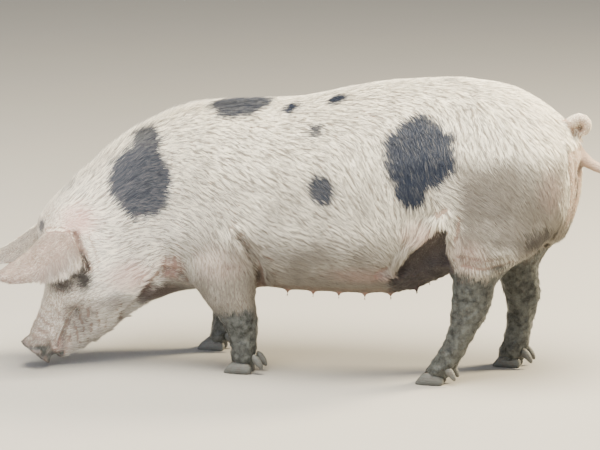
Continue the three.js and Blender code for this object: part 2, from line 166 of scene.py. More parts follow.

# Regions with soft edges, on both sides. Each edge is its axis (y is outwards), where the region ends
# and where it is full.
# The groin's recess is painted dark: partly dark hide, partly painted shade.
GROIN = ((Y, 160, 142), (X, 150, 195), (X, 352, 338), (Z, 425, 405), (Z, 195, 215))
UNDER_TAIL = ((X, 594, 610), (Y, 100, 80), (Z, 610, 580))
HAM = ((X, 320, 390), (Z, 598, 540), (X, 622, 592))
LOW_HAM = ((Z, 385, 345), (X, 520, 480))
THIGH_FRONT = ((X, 300, 340), (Z, 270, 310))
BRISKET = ((X, -165, -195), (Z, 150, 190))
FACE = ((X, -560, -690), (Z, 330, 230))
JAW = ((Z, 212, 165), (X, -470, -530), (X, -715, -690))
CREST = ((Y, 70, 20), (Z, 380, 450), (X, -100, -350))

# Soft swellings and hollows on both sides: centre (y is outwards), half sizes and height, all in mm.
SWELLINGS = (
    ("shoulder blade", (-285, 150, 500), (60, 60, 120), 6),
    ("hollow behind the shoulder", (-150, 180, 470), (45, 60, 120), -5),
    ("elbow", (-205, 170, 325), (36, 45, 45), 7),
    ("point of the shoulder", (-345, 140, 320), (55, 60, 60), 6),
    ("ribs", (70, 200, 340), (170, 70, 90), 4),
    ("hollow of the flank", (300, 185, 640), (55, 60, 60), -5),
    ("hip bone", (405, 120, 705), (50, 50, 40), 5),
    ("pocket before the stifle", (262, 190, 425), (35, 60, 30), -5),
    ("recess behind the fold of the flank", (270, 120, 320), (60, 45, 60), -12),
    ("stifle", (365, 180, 380), (40, 60, 45), 6),
    ("ham", (500, 175, 470), (80, 70, 100), 8),
    ("buttock", (585, 120, 450), (40, 40, 80), 8),
    ("jowl", (-545, 100, 215), (45, 50, 50), 9),
    ("throat", (-450, 70, 180), (60, 50, 42), -7),
    ("brow", (-718, 62, 285), (26, 26, 26), 5),
    ("cheekbone", (-690, 70, 205), (26, 26, 24), 3),
    ("corner of the mouth", (-670, 62, 146), (15, 18, 17), -12),
    ("curl of the tail", (623, 11, 630), (8, 12, 8), -5),
)

# Creases: points (y is outwards), half width and depth. Both sides have them.
CREASES = (
    ("mouth", MOUTH, 4, 7),
    ("fold round the corner of the mouth",
     ((-690, 40, 122), (-684, 50, 146), (-668, 64, 162), (-650, 76, 152)), 8, 3.2),
    ("cheek fold", ((-660, 60, 118), (-646, 72, 138), (-640, 80, 160)), 6, 2.5),
    ("snout fold, front", ((-740, 40, 88), (-764, 26, 102), (-770, 0, 106)), 5, 2.5),
    ("snout fold, middle", ((-728, 44, 106), (-752, 28, 124), (-757, 0, 128)), 5, 2.2),
    ("snout fold, rear", ((-722, 48, 128), (-744, 32, 146), (-748, 0, 150)), 6, 1.8),
    ("fold under the eye", ((-720, 62, 222), (-700, 72, 214), (-684, 82, 222)), 4, 2),
    ("lower fold under the eye", ((-722, 58, 205), (-698, 74, 194), (-676, 86, 204)), 6, 2),
    ("forehead fold", ((-742, 0, 300), (-740, 30, 304), (-730, 52, 314)), 8, 2),
    ("upper forehead fold", ((-746, 0, 326), (-742, 34, 332), (-730, 58, 342)), 9, 2),
    ("behind the ear", BEHIND_EAR, 7, 11),
    ("rear edge of the jowl", ((-558, 58, 124), (-540, 69, 146), (-519, 78, 167), (-499, 87, 187),
                               (-477, 103, 215), (-457, 115, 237), (-441, 124, 257)), 9, 15),
    ("under the armpit", ((-441, 124, 257), (-416, 125, 257), (-385, 122, 251), (-366, 110, 235)), 7, 9),
    ("armpit fold, front", ((-432, 138, 288), (-427, 132, 264)), 4, 3),
    ("armpit fold, rear", ((-402, 142, 292), (-397, 132, 262)), 4, 3),
    ("behind the elbow", ((-188, 184, 363), (-172, 178, 337), (-157, 169, 308), (-149, 149, 275),
                          (-157, 92, 220)), 8, 9),
    ("edge of the fold of the flank",
     ((161, 146, 265), (202, 164, 303), (230, 177, 339), (267, 180, 371), (292, 183, 398), (312, 188, 425)),
     9, -6),
    ("inside of the fold of the flank",
     ((190, 125, 262), (230, 148, 308), (262, 152, 343), (292, 156, 376), (318, 166, 404)), 9, 11),
    ("front edge of the thigh", ((333, 186, 437), (333, 164, 383), (336, 152, 332), (334, 122, 280)), 9, -5),
    ("inside the thigh", ((324, 158, 395), (320, 136, 350), (322, 114, 300)), 9, 8),
    ("gathers above the hock, upper", ((360, 172, 338), (420, 178, 330), (480, 168, 345)), 6, 4),
    ("gathers above the hock, lower", ((370, 168, 318), (425, 174, 310), (490, 164, 328)), 6, 4),
    ("outer fold of the buttock", ((607, 74, 604), (615, 82, 565), (619, 84, 527), (619, 80, 490),
                                   (608, 84, 429), (586, 60, 371)), 6, 10),
    ("inner fold of the buttock", ((627, 48, 560), (629, 46, 520), (628, 44, 470), (614, 36, 405)), 6, 9),
    ("cleft of the hams", ((628, 0, 520), (618, 0, 420), (585, 0, 368), (540, 0, 338)), 16, 12),
    ("under the tail", ((606, 22, 588), (622, 30, 560), (626, 34, 530)), 7, 4),
    ("anus", ((632, 0, 538), (631, 0, 530)), 7, 9),
    ("vulva", ((632, 0, 492), (624, 0, 462)), 3, 7),
    ("lips of the vulva", ((632, 11, 492), (624, 9, 462)), 9, -8),
)

# The lie of the hair: where (y is outwards), how far round, and the way the tips point.
LIES = (
    ("neck crest", (-640, 65, 443), 80, (0.75, 0.1, 0.65)),
    ("neck, upper", (-573, 104, 434), 70, (0.82, 0, 0.5)),
    ("before the shoulder", (-473, 143, 425), 70, (1, 0, -0.05)),
    ("neck side", (-536, 128, 341), 70, (0.95, 0, 0.22)),
    ("behind the ear", (-647, 93, 373), 50, (0.75, 0, -0.6)),
    ("jowl", (-489, 125, 263), 60, (0.7, 0, 0.7)),
    ("cheek", (-589, 110, 234), 60, (0.85, 0, 0.5)),
    ("jowl, lower", (-560, 93, 178), 60, (0.9, 0, 0.4)),
    ("cheek, front", (-670, 80, 220), 50, (0.75, 0, 0.6)),
    ("throat", (-440, 70, 180), 80, (1, 0, -0.05)),
    ("forehead", (-745, 20, 330), 60, (0.1, 0.1, 1)),
    ("face", (-735, 20, 240), 60, (0, 0.15, 1)),
    ("muzzle", (-755, 20, 120), 60, (0.1, 0.3, 0.9)),
    ("jaw", (-640, 50, 90), 70, (0.95, 0, 0.2)),
    ("front of the shoulder", (-408, 159, 360), 70, (0.93, 0, -0.3)),
    ("arm", (-260, 165, 300), 70, (0.4, 0, -0.9)),
    ("withers", (-330, 90, 620), 100, (0.95, 0.15, -0.05)),
    ("shoulder", (-266, 161, 557), 90, (0.83, 0, -0.5)),
    ("back", (-49, 112, 655), 110, (0.93, 0.1, -0.3)),
    ("back, rear", (150, 60, 730), 110, (0.95, 0.15, -0.25)),
    ("ribs, front", (-93, 197, 456), 90, (0.88, 0, -0.48)),
    ("ribs", (65, 207, 426), 80, (0.8, 0, -0.6)),
    ("ribs, lower", (-17, 189, 342), 80, (0.97, 0, -0.2)),
    ("belly side", (80, 170, 250), 110, (0.95, 0, -0.2)),
    ("before the flank", (140, 203, 544), 70, (0.5, 0, -0.87)),
    ("flank", (270, 180, 600), 80, (0.28, 0, -0.95)),
    ("flank, lower", (150, 207, 445), 60, (0.45, 0, -0.88)),
    ("flank, beneath", (245, 195, 440), 45, (0.05, 0, -1)),
    ("fold, front", (165, 190, 360), 50, (0.65, 0, -0.75)),
    ("fold", (262, 178, 378), 42, (-0.62, 0, -0.75)),
    ("fold, lower", (212, 170, 325), 36, (-0.5, 0, -0.8)),
    ("top of the fold", (298, 190, 440), 28, (-0.6, 0, -0.6)),
    ("loin", (330, 60, 740), 90, (0.9, 0.2, -0.35)),
    ("hip, front", (354, 138, 686), 70, (0.3, 0.1, -0.95)),
    ("hip", (438, 160, 640), 80, (0.4, 0, -0.92)),
    ("croup", (541, 90, 662), 70, (0.7, 0.1, -0.7)),
    ("ham", (476, 188, 500), 60, (0.75, 0, -0.65)),
    ("ham, front", (396, 192, 480), 55, (0.92, 0, -0.4)),
    ("above the stifle", (333, 193, 495), 40, (0.95, 0, -0.3)),
    ("ham, rear", (534, 172, 468), 60, (0.5, 0, -0.85)),
    ("buttock", (590, 130, 490), 50, (0.1, 0, -1)),
    ("thigh", (353, 177, 404), 45, (0.55, 0, -0.85)),
    ("thigh, upper", (420, 182, 425), 50, (0.85, 0, -0.5)),
    ("rump", (622, 50, 480), 70, (-0.05, 0, -1)),
)

TRUNK_GROW = 0.0012  # closes the gaps between the solids before they become one skin
EAR_GROW = 0.0022  # thin ears need more, and lose it again afterwards
SOCKET_FILL = 1.12  # the balls that fill the sockets of the eyes are larger than the eyes by this factor
LOCKS_SEED = 11
COAT_SEED = 100  # of the first piece, and one more for each of the others


def shift():
    """From body coordinates to the model's frame, in metres: the trunk is centred on y = 0 in both."""
    low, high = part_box("trunk")
    return np.array([high.x - RUMP_END / 1000, (low.y + high.y) / 2, 0.0])


def to_model(points):
    """Body coordinates to the model's frame."""
    x, y, z = np.atleast_2d(np.asarray(points, float)).T
    angle = np.clip((NECK_START - x) / NECK_RADIUS, 0, HEAD_TURN)
    ahead = np.maximum(NECK_END - x, 0)
    turned = x < NECK_START
    bent_x = NECK_START - np.sin(angle) * (NECK_RADIUS + y) - ahead * math.cos(HEAD_TURN)
    bent_y = (np.cos(angle) - 1) * NECK_RADIUS + np.cos(angle) * y - ahead * math.sin(HEAD_TURN)
    return np.stack([np.where(turned, bent_x, x), np.where(turned, bent_y, y), z], 1) / 1000 + shift()


def to_body(points):
    """The model's frame to body coordinates."""
    x, y, z = ((np.asarray(points, float) - shift()) * 1000).T
    ahead_of_neck = x < NECK_START
    across = y + NECK_RADIUS
    angle = np.arctan2(NECK_START - x, across)
    end_x = NECK_START - math.sin(HEAD_TURN) * NECK_RADIUS
    end_y = (math.cos(HEAD_TURN) - 1) * NECK_RADIUS
    far_x = NECK_END + math.cos(HEAD_TURN) * (x - end_x) + math.sin(HEAD_TURN) * (y - end_y)
    far_y = math.cos(HEAD_TURN) * (y - end_y) - math.sin(HEAD_TURN) * (x - end_x)
    in_head = angle > HEAD_TURN
    arc_x = NECK_START - angle * NECK_RADIUS
    arc_y = np.hypot(NECK_START - x, across) - NECK_RADIUS
    body_x = np.where(in_head, far_x, arc_x)
    body_y = np.where(in_head, far_y, arc_y)
    return np.stack([np.where(ahead_of_neck, body_x, x), np.where(ahead_of_neck, body_y, y), z], 1)


def turn_to_model(body, ways):
    """Turns directions given in body coordinates, at the given places, into the model's frame."""
    angle = np.clip((NECK_START - body[:, 0]) / NECK_RADIUS, 0, HEAD_TURN)
    c, s = np.cos(angle), np.sin(angle)
    return np.stack([ways[:, 0] * c - ways[:, 1] * s, ways[:, 0] * s + ways[:, 1] * c, ways[:, 2]], 1)


def outwards(body):
    """Body coordinates with y counted away from the middle plane."""
    return np.stack([body[:, X], np.abs(body[:, Y]), body[:, Z]], 1)


def unit(vectors):
    """Vectors made one long."""
    return vectors / np.maximum(np.linalg.norm(vectors, axis=1, keepdims=True), 1e-9)


def ramp(values, low, high):
    """0 below low, 1 above high and smooth between. Low may be above high."""
    t = np.clip((values - low) / (high - low), 0, 1)
    return t * t * (3 - 2 * t)


def within(b, edges):
    """How far each place is inside a region with soft edges, from 0 to 1."""
    share = np.ones(len(b))
    for axis, end, full in edges:
        share = share * ramp(b[:, axis], end, full)
    return share


def graded(values, rows):
    """Reads rows of (place, value) at the given places, in proportion between the rows."""
    return np.interp(values, *zip(*rows))


def distance(b, place):
    """How far each place is from one point."""
    return np.linalg.norm(b - place, axis=1)


def spread(b, centre, half):
    """The squared distance from a centre in half sizes: 1 on the ellipsoid's surface."""
    return (((b - centre) / half) ** 2).sum(1)


def wander(points, length, seed):
    """A smooth number of about -1 to 1 that changes over the given length in mm."""
    draw = np.random.default_rng(seed)
    total = np.zeros(len(points))
    for _ in range(9):
        wave = draw.normal(size=3)
        wave *= 2 * math.pi / (length * np.linalg.norm(wave) * draw.uniform(0.6, 1.8))
        total += np.sin(points @ wave + draw.uniform(0, 2 * math.pi))
    return total / 3


def off_line(points, line):
    """Each point's distance from a line of points, and the way the line runs beside it."""
    line = np.asarray(line, float)
    best = np.full(len(points), 1e9)
    way = np.zeros((len(points), 3))
    for start, end in zip(line[:-1], line[1:]):
        run = end - start
        share = np.clip((points - start) @ run / (run @ run), 0, 1)
        away = np.linalg.norm(points - start - share[:, None] * run, axis=1)
        nearer = away < best
        best[nearer] = away[nearer]
        way[nearer] = run / np.linalg.norm(run)
    return best, way


# ------------------------------------------------------------------ settings


class SowShape(bpy.types.PropertyGroup):
    """How fine the skin is, and how deep it lies under the coat."""

    grain: FloatProperty(name="Grain", description="Size of the skin's faces", default=0.0054, unit="LENGTH")
    coat_depth: FloatProperty(name="Coat depth", description="From the skin to the tips of the trunk's coat",
                              default=0.004, unit="LENGTH")
    relief: FloatProperty(name="Relief", description="Strength of muscles and folds", default=1.0, min=0,
                          max=2)


class SowCoat(bpy.types.PropertyGroup):
    """The bristles."""

    pieces: IntProperty(name="Pieces", description="The coat is divided into this many pieces", default=7)
    tufts: IntProperty(name="Tufts", description="Tufts in each piece", default=48500)
    locks: IntProperty(name="Locks", description="Groups in which the tufts cling together", default=190000)
    length: FloatProperty(name="Length", description="Length of the bristles on the trunk", default=0.027,
                          unit="LENGTH")
    width: FloatProperty(name="Width", description="Width of a tuft at its root on the trunk", default=0.0023,
                         unit="LENGTH")


def hex_colour(name, description, value):
    """A colour setting whose default is given as sRGB hex."""
    return FloatVectorProperty(name=name, description=description, subtype="COLOR", size=4, min=0, max=1,
                               default=linear(value))


def linear(value):
    """An sRGB hex colour as linear red, green, blue and alpha."""
    parts = [int(value[i:i + 2], 16) / 255 for i in (1, 3, 5)]
    return (*[p / 12.92 if p <= 0.04045 else ((p + 0.055) / 1.055) ** 2.4 for p in parts], 1.0)


class SowColours(bpy.types.PropertyGroup):
    """Her colours."""

    bristle: hex_colour("Bristle", "Pale bristles", "#fff8e5")
    # Soiling and painted shade: low on the body, on the throat, in the folds and on the near ear.
    soiled_and_shaded: hex_colour("Soiled bristle", "Pale bristles low on the body", "#493f36")
    spot: hex_colour("Spot", "Bristles and skin of the spots", "#232b3b")
    # Painted shade in the folds, hollows and nostrils and under the ears, with the cheek's dark hide.
    dark_hide_and_shade: hex_colour("Dusk", "Hide and bristles in the folds", "#2b2726")
    skin: hex_colour("Skin", "Skin under pale bristles", "#b8a18e")
    pink: hex_colour("Pink skin", "Thin bare skin", "#c4978b")
    mud: hex_colour("Dry mud", "Mud on the legs and the snout", "#5c5e5a")
    wet_mud: hex_colour("Damp mud", "Darker mud", "#272826")
    horn: hex_colour("Horn", "The claws", "#5d564e")
    mottle: hex_colour("Mottling", "Darker places in the pale skin", "#8f7b70")
    # Painted shadow between the clumped locks of the pale coat.
    shadowed_lock: hex_colour("Worn bristle", "The darker locks of the pale coat", "#5d5247")
    ring: hex_colour("Growth ring", "Darker rings round the claws", "#3f3730")
    floor: hex_colour("Floor", "The stage's floor", "#a29f99")
    floor_tone: hex_colour("Floor, uneven", "Darker places in the floor", "#8f8c86")


# ------------------------------------------------------------------ materials

HIDE_ROUGHNESS = 0.62
MUD_ROUGHNESS = 0.35
SOIL_AND_SHADE_SHARE = 0.9  # the share of the soiled and shaded colour where soiling and painted shade are full
# The eye's colours from its axis (0) to the edge of its front half (1).
EYE_RINGS = ((0.0, "#050404"), (0.2, "#070504"), (0.26, "#3c2413"), (0.5, "#5a381d"), (0.6, "#1d1009"),
             (0.68, "#b9a493"), (1.0, "#a98d80"))


def add_node(tree, kind, inputs=(), **settings):
    """Adds a node with its settings, and its inputs by name or number as values or links."""
    made = tree.nodes.new(kind)
    for name, value in settings.items():
        setattr(made, name, value)
    for name, value in dict(inputs).items():
        if isinstance(value, bpy.types.NodeSocket):
            tree.links.new(value, made.inputs[name])
        else:
            made.inputs[name].default_value = value
    return made


def lay_over(tree, under, over, amount, gain=1.0, offset=0.0):
    """Lays one colour over another in the share amount * gain + offset, kept from 0 to 1.

    The amount is a socket, or the name of a number stored on the mesh.
    """
    if isinstance(amount, str):
        amount = add_node(tree, "ShaderNodeAttribute", attribute_name=amount).outputs["Fac"]
    share = add_node(tree, "ShaderNodeMath", {0: amount, 1: gain, 2: offset}, operation="MULTIPLY_ADD",
                     use_clamp=True)
    return add_node(tree, "ShaderNodeMix", {0: share.outputs[0], 6: under, 7: over},
                    data_type="RGBA").outputs[2]


def new_material(name, **surface):
    """A material with one Principled shader, whose constant values are set on its own sockets."""
    made = bpy.data.materials.new(name)
    made.use_nodes = True
    shader = made.node_tree.nodes["Principled BSDF"]
    for socket, value in surface.items():
        shader.inputs[socket.replace("_", " ")].default_value = value
    return made, made.node_tree, shader


def marked_colour(tree, pale):
    """A pale colour with her pink places, spots, painted shade in the folds and hollows (with the cheek's
    dark hide) and mud over it.
    """
    hues = bpy.context.scene.sow_colours
    place = add_node(tree, "ShaderNodeTexCoord").outputs["Object"]
    # Clods of mud about 16 mm across, damp between them.
    clods = add_node(tree, "ShaderNodeTexNoise", {"Vector": place, "Scale": 62.0, "Detail": 6.0,
                                                  "Roughness": 0.68})
    mud = lay_over(tree, hues.wet_mud, hues.mud, clods.outputs["Fac"], 3.4, -1.15)
    pinked = lay_over(tree, pale, hues.pink, "pink", 0.7)
    spotted = lay_over(tree, pinked, hues.spot, "spot")
    # Painted brown shade, with the cheek's dark hide.
    darkened = lay_over(tree, spotted, hues.dark_hide_and_shade, "dark_hide_and_shade")
    return lay_over(tree, darkened, mud, "mud")


def skin_material():
    """Pig skin: thin, slightly oily hide that lets a little red through, with fine creases along the hair."""
    hues = bpy.context.scene.sow_colours
    made, tree, shader = new_material("Sow_hide", Roughness=HIDE_ROUGHNESS, IOR=1.4, Specular_IOR_Level=0.3,
                                      Subsurface_Weight=0.06, Subsurface_Radius=(0.6, 0.25, 0.15),
                                      Subsurface_Scale=0.01)
    place = add_node(tree, "ShaderNodeTexCoord").outputs["Object"]
    # Mottling about 40 mm across.
    mottle = add_node(tree, "ShaderNodeTexNoise", {"Vector": place, "Scale": 24.0, "Detail": 6.0})
    # Soiling and painted shade.
    soiled_and_shaded = lay_over(tree, hues.skin, hues.soiled_and_shaded, "soil_and_shade", SOIL_AND_SHADE_SHARE)
    pale = lay_over(tree, soiled_and_shaded, hues.mottle, mottle.outputs["Fac"], 1.2, -0.35)
    tree.links.new(marked_colour(tree, pale), shader.inputs["Base Color"])
    # Hair-width grooves about 2 mm apart, drawn out along the body, and crumbs of mud about 10 mm across.
    along = add_node(tree, "ShaderNodeMapping", {"Vector": place, "Scale": (0.18, 1.0, 0.6)})
    grooves = add_node(tree, "ShaderNodeTexNoise", {"Vector": along.outputs[0], "Scale": 480.0,
                                                    "Detail": 3.0})
    crumbs = add_node(tree, "ShaderNodeTexNoise", {"Vector": place, "Scale": 95.0, "Detail": 4.0})
    muddy = add_node(tree, "ShaderNodeAttribute", attribute_name="mud").outputs["Fac"]
    height = add_node(tree, "ShaderNodeMix", {0: muddy, 2: grooves.outputs["Fac"], 3: crumbs.outputs["Fac"]},
                      data_type="FLOAT")
    bump = add_node(tree, "ShaderNodeBump", {"Height": height.outputs[0], "Strength": 0.9, "Distance": 0.005})
    tree.links.new(bump.outputs[0], shader.inputs["Normal"])
    damp = add_node(tree, "ShaderNodeMath", {0: muddy, 1: MUD_ROUGHNESS - HIDE_ROUGHNESS, 2: HIDE_ROUGHNESS},
                    operation="MULTIPLY_ADD")
    tree.links.new(damp.outputs[0], shader.inputs["Roughness"])
    return made


def bristle_material():
    """Pig bristle: stiff, translucent keratin with a soft gloss, paler at the tip."""
    hues = bpy.context.scene.sow_colours
    made, tree, shader = new_material("Sow_bristle", Roughness=0.45, IOR=1.55, Specular_IOR_Level=0.25)
    # Soiling and painted shade.
    soiled_and_shaded = lay_over(tree, hues.bristle, hues.soiled_and_shaded, "soil_and_shade", SOIL_AND_SHADE_SHARE)
    # Painted shadow on the darker locks.
    shadowed_lock = lay_over(tree, soiled_and_shaded, hues.shadowed_lock, "shade", 0.85)
    tipped = lay_over(tree, shadowed_lock, hues.bristle, "tip", 0.15)
    tree.links.new(marked_colour(tree, tipped), shader.inputs["Base Color"])
    return made


def eye_material():
    """A pig's eye: a wet cornea over a dark brown iris and a flat pupil, with a dull rim of white."""
    made, tree, shader = new_material("Sow_eye", Roughness=0.06, IOR=1.376, Coat_Weight=1.0,
                                      Coat_Roughness=0.02)
    from_axis = add_node(tree, "ShaderNodeAttribute", attribute_name="from_axis").outputs["Fac"]
    rings = add_node(tree, "ShaderNodeValToRGB", {"Fac": from_axis})
    while len(rings.color_ramp.elements) < len(EYE_RINGS):
        rings.color_ramp.elements.new(0.5)
    for element, (position, value) in zip(rings.color_ramp.elements, EYE_RINGS):
        element.position = position
        element.color = linear(value)
    place = add_node(tree, "ShaderNodeTexCoord").outputs["Object"]
    # The threads of the iris, about 1 mm apart.
    threads = add_node(tree, "ShaderNodeTexNoise", {"Vector": place, "Scale": 900.0, "Detail": 4.0})
    iris = lay_over(tree, rings.outputs[0], linear("#0d0704"), threads.outputs["Fac"], 0.5)
    tree.links.new(iris, shader.inputs["Base Color"])
    return made


def horn_material():
    """Hoof horn: dull, layered keratin with growth rings 3 mm apart and earth in them."""
    hues = bpy.context.scene.sow_colours
    made, tree, shader = new_material("Sow_horn", Roughness=0.6, IOR=1.54)
    place = add_node(tree, "ShaderNodeTexCoord").outputs["Object"]
    rings = add_node(tree, "ShaderNodeTexWave", {"Vector": place, "Scale": 55.0, "Distortion": 3.0,
                                                 "Detail": 3.0}, bands_direction="Z")
    # Crumbs of earth about 8 mm across.
    earth = add_node(tree, "ShaderNodeTexNoise", {"Vector": place, "Scale": 120.0, "Detail": 6.0})
    horn = lay_over(tree, hues.horn, hues.ring, rings.outputs["Fac"], 0.5)
    earthy = lay_over(tree, horn, hues.mud, earth.outputs["Fac"], 3.0, -0.7)
    tree.links.new(earthy, shader.inputs["Base Color"])
    uneven = add_node(tree, "ShaderNodeMix", {0: 0.5, 6: rings.outputs["Color"], 7: earth.outputs["Color"]},
                      data_type="RGBA").outputs[2]
    bump = add_node(tree, "ShaderNodeBump", {"Height": uneven, "Strength": 0.5, "Distance": 0.001})
    tree.links.new(bump.outputs[0], shader.inputs["Normal"])
    return made


def floor_material():
    """Matt painted board, faintly uneven in tone."""
    hues = bpy.context.scene.sow_colours
    made, tree, shader = new_material("Stage_floor", Roughness=0.9, Specular_IOR_Level=0.2)
    place = add_node(tree, "ShaderNodeTexCoord").outputs["Object"]
    grain = add_node(tree, "ShaderNodeTexNoise", {"Vector": place, "Scale": 3.0, "Detail": 4.0})
    tone = lay_over(tree, hues.floor, hues.floor_tone, grain.outputs["Fac"], 0.12)
    tree.links.new(tone, shader.inputs["Base Color"])
    return made


# ------------------------------------------------------------------ markings and lie


def spots_and_groin_shade_at(body):
    """How dark each place is, from 0 to 1: her spots, and the groin's recess, partly dark hide and partly
    painted shade. The edges are ragged, as hair makes them.
    """
    ragged = 0.1 * wander(body, 34, 5) + 0.06 * wander(body, 13, 6)
    dark = np.zeros(len(body))
    for _, centre, half, tilt, strength in SPOTS:
        away = body - centre
        c, s = math.cos(math.radians(tilt)), math.sin(math.radians(tilt))
        along = away[:, 0] * c + away[:, 2] * s
        across = away[:, 2] * c - away[:, 0] * s
        reach = np.sqrt((along / half[0]) ** 2 + (away[:, 1] / half[1]) ** 2 + (across / half[2]) ** 2)
        dark = np.maximum(dark, strength * ramp(reach + ragged * min(1, 60 / half[0]), 1.08, 0.9))
    # The groin's recess: partly dark hide, partly painted shade.
    return np.maximum(dark, 0.62 * within(outwards(body), GROIN))


def dark_hide_and_shade_at(body):
    """Painted brown shadow in the folds, the groin, under the ham, in the nostrils and behind and under the
    ear; the cheek's patch is partly dark hide.
    """
    b = outwards(body)
    uneven = 0.1 * wander(body, 24, 7)
    dark_hide_and_shade = np.maximum(0.9 * ramp(ear_gap(b), 1.15, 0.75), 0.85 * crevices_at(body) ** 2)
    dark_hide_and_shade = np.maximum(dark_hide_and_shade, 0.5 * within(b, GROIN))
    for _, centre, half, strength in DARK_HIDE_AND_SHADE_PLACES:
        reach = np.sqrt(spread(b, centre, half))
        dark_hide_and_shade = np.maximum(dark_hide_and_shade, strength * ramp(reach + uneven, 1.25, 0.45))
    return dark_hide_and_shade


def ear_gap(b):
    """Distance from the gap behind each ear, which gets painted shadow, 1 at its edge. It is narrow at the
    top and wide below.
    """
    return off_line(b, BEHIND_EAR)[0] / graded(b[:, Z], EAR_GAP)


def mud_at(body, legs, disc):
    """Where mud hides hide and hair: the lower legs, the lips and the snout, but not the nostrils."""
    b = outwards(body)
    behind = b[:, X] > HIND_FROM
    line = np.where(behind, 292 + 0.5 * np.clip(b[:, X] - 430, 0, 120), 160)
    line = line + 12 * wander(body, 60, 21) + 8 * wander(body, 18, 22)
    on_legs = legs * ramp(b[:, Z], line + 8, line - 10)
    patches = ramp(wander(body, 14, 23) + wander(body, 45, 24), 0.6, -0.8)
    low = np.where(behind, ramp(b[:, Z], 340, 250), ramp(b[:, Z], 200, 120))
    on_legs *= np.clip(patches + low, 0, 1)
    lips = ramp(b[:, Z], 92, 52) * (b[:, X] < -690) * (0.88 + 0.2 * wander(body, 16, 26))
    lips *= ramp(distance(b, LIPS_APART), 10, 24)
    snout = disc * ramp(wander(body, 12, 25) - b[:, Z] / 60 + 1.2, -0.6, 0.7)
    snout *= ramp(distance(b, NOSTRIL), 8, 14)
    return np.clip(np.maximum.reduce([on_legs, lips, snout * 0.85]), 0, 1)


def pink_at(body, disc, ears):
    """Where the skin is thin and pink."""
    b = outwards(body)
    # Only the near ear gets pink: it is painted as shaded and the far ear as lit.
    pink = 0.7 * disc + np.where(body[:, Y] < 0, 0.2, 0.0) * ears
    for _, centre, half, strength in PINK:
        pink = np.maximum(pink, strength * ramp(np.sqrt(spread(b, centre, half)), 1.3, 0.4))
    pink[teats_at(body)] = 0.5
    return pink * (0.8 + 0.2 * wander(body, 30, 31))


def soil_and_shade_at(body, ears, tail):
    """Soiling and painted shade: darker towards the belly and a little below the back; soiled hams, teats and
    face; painted shade on the throat and on the near ear; both in the folds.
    """
    b = outwards(body)
    # Darker towards the belly: partly soiling, partly painted shade.
    low = 0.85 * ramp(b[:, Z], 425, 300) + 0.5 * ramp(b[:, Z], 300, 225)
    low *= 1 - 0.35 * within(b, THIGH_FRONT)
    low *= 1 - 0.3 * within(b, BRISKET)
    low *= ramp(b[:, X], -480, -400)
    middle = 0.2 * ramp(b[:, Z], 640, 420)
    ham = within(b, HAM) * (1 - 0.4 * within(b, LOW_HAM))
    # Painted shade on the throat.
    throat = ramp(np.sqrt(spread(b, (-440, 60, 180), (90, 60, 55))), 1.2, 0.6)
    head = np.maximum(0.42 * within(b, FACE), 0.75 * within(b, JAW)) * (1 - ears)
    # Painted shade on the near ear only, the far one being lit; its rim is left pale as a painted rim light.
    to_ear_edge = ramp(off_line(b, EAR_LINE)[0], 46, 64)
    ear = ears * (0.95 - 0.6 * to_ear_edge) * (body[:, Y] < 0) * (1 + 0.2 * wander(body, 15, 43))
    # The folds darken with dirt held there and with painted shade.
    soil_and_shade = np.maximum.reduce([low, ham, middle, throat, 0.85 * teats_at(body), head, ear,
                              0.95 * crevices_at(body)])
    uneven = np.where(b[:, X] < NECK_END, 0.13, 0.07) * wander(body, 20, 42)
    return np.clip(soil_and_shade + 0.1 * wander(body, 70, 41) + uneven, 0, 1) * (1 - 0.95 * tail)


def bare_at(body, names):
    """How thin and short the hair is: in the groin, armpit and folds, under the tail and on the belly."""
    b = outwards(body)
    belly = ramp(b[:, Z], 240, 215) * (names == "trunk")
    armpit = ramp(distance(b, (-410, 125, 262)), 55, 30)
    return np.maximum.reduce([within(b, GROIN), within(b, UNDER_TAIL), belly, 0.7 * armpit,
                              teats_at(body, 7).astype(float), 0.9 * crevices_at(body)])


def lie_at(body, normals, label):
    """The way the bristles point at each place, along the skin, in the model's frame."""
    b = outwards(body)
    side = np.sign(body[:, Y])
    names = np.array(FLESH)[label]
    total = np.tile([0.35, 0.0, -0.15], (len(b), 1)) * 0.02
    for _, centre, around, way in LIES:
        total += np.exp(-spread(b, centre, around))[:, None] * np.array(way) / np.linalg.norm(way)
    total = unit(total)
    on_leg = np.isin(names, LEGS) * ramp(b[:, Z], 400, 290)
    total = unit(total * (1 - on_leg[:, None]) + on_leg[:, None] * np.array([0.12, 0, -1]))
    total[:, Y] *= side
    ears = np.isin(names, EARS)
    down_ear = off_line(b[ears], EAR_LINE)[1] + 1.6 * ear_fringe(b[ears])[:, None] * np.array(EAR_ACROSS)
    down_ear[:, Y] *= side[ears]
    total[ears] = down_ear
    tail = np.isin(names, TAIL)
    total[tail] = off_line(body[tail], TAIL_LINE)[1]
    ways = turn_to_model(body, total)
    ways = unit(ways - (ways * normals).sum(1, keepdims=True) * normals)
    return turned(ways, normals, 0.15 * wander(body, 26, 53))


def turned(ways, normals, angles):
    """Directions turned on the skin by small angles."""
    angles = angles[:, None]
    return ways * np.cos(angles) + np.cross(normals, ways) * np.sin(angles)


def ear_fringe(b):
    """1 along the lower edge of the ear, from its root to near its tip, and 0 over the rest of it."""
    root, tip = np.array(EAR_LINE[0], float), np.array(EAR_LINE[-1], float)
    run = (tip - root) / np.linalg.norm(tip - root)
    along = (b - root) @ run
    over = (b - root - along[:, None] * run) @ np.array(EAR_ACROSS)
    return ramp(over, 38, 56) * ramp(along, 190, 110)


# ------------------------------------------------------------------ skin


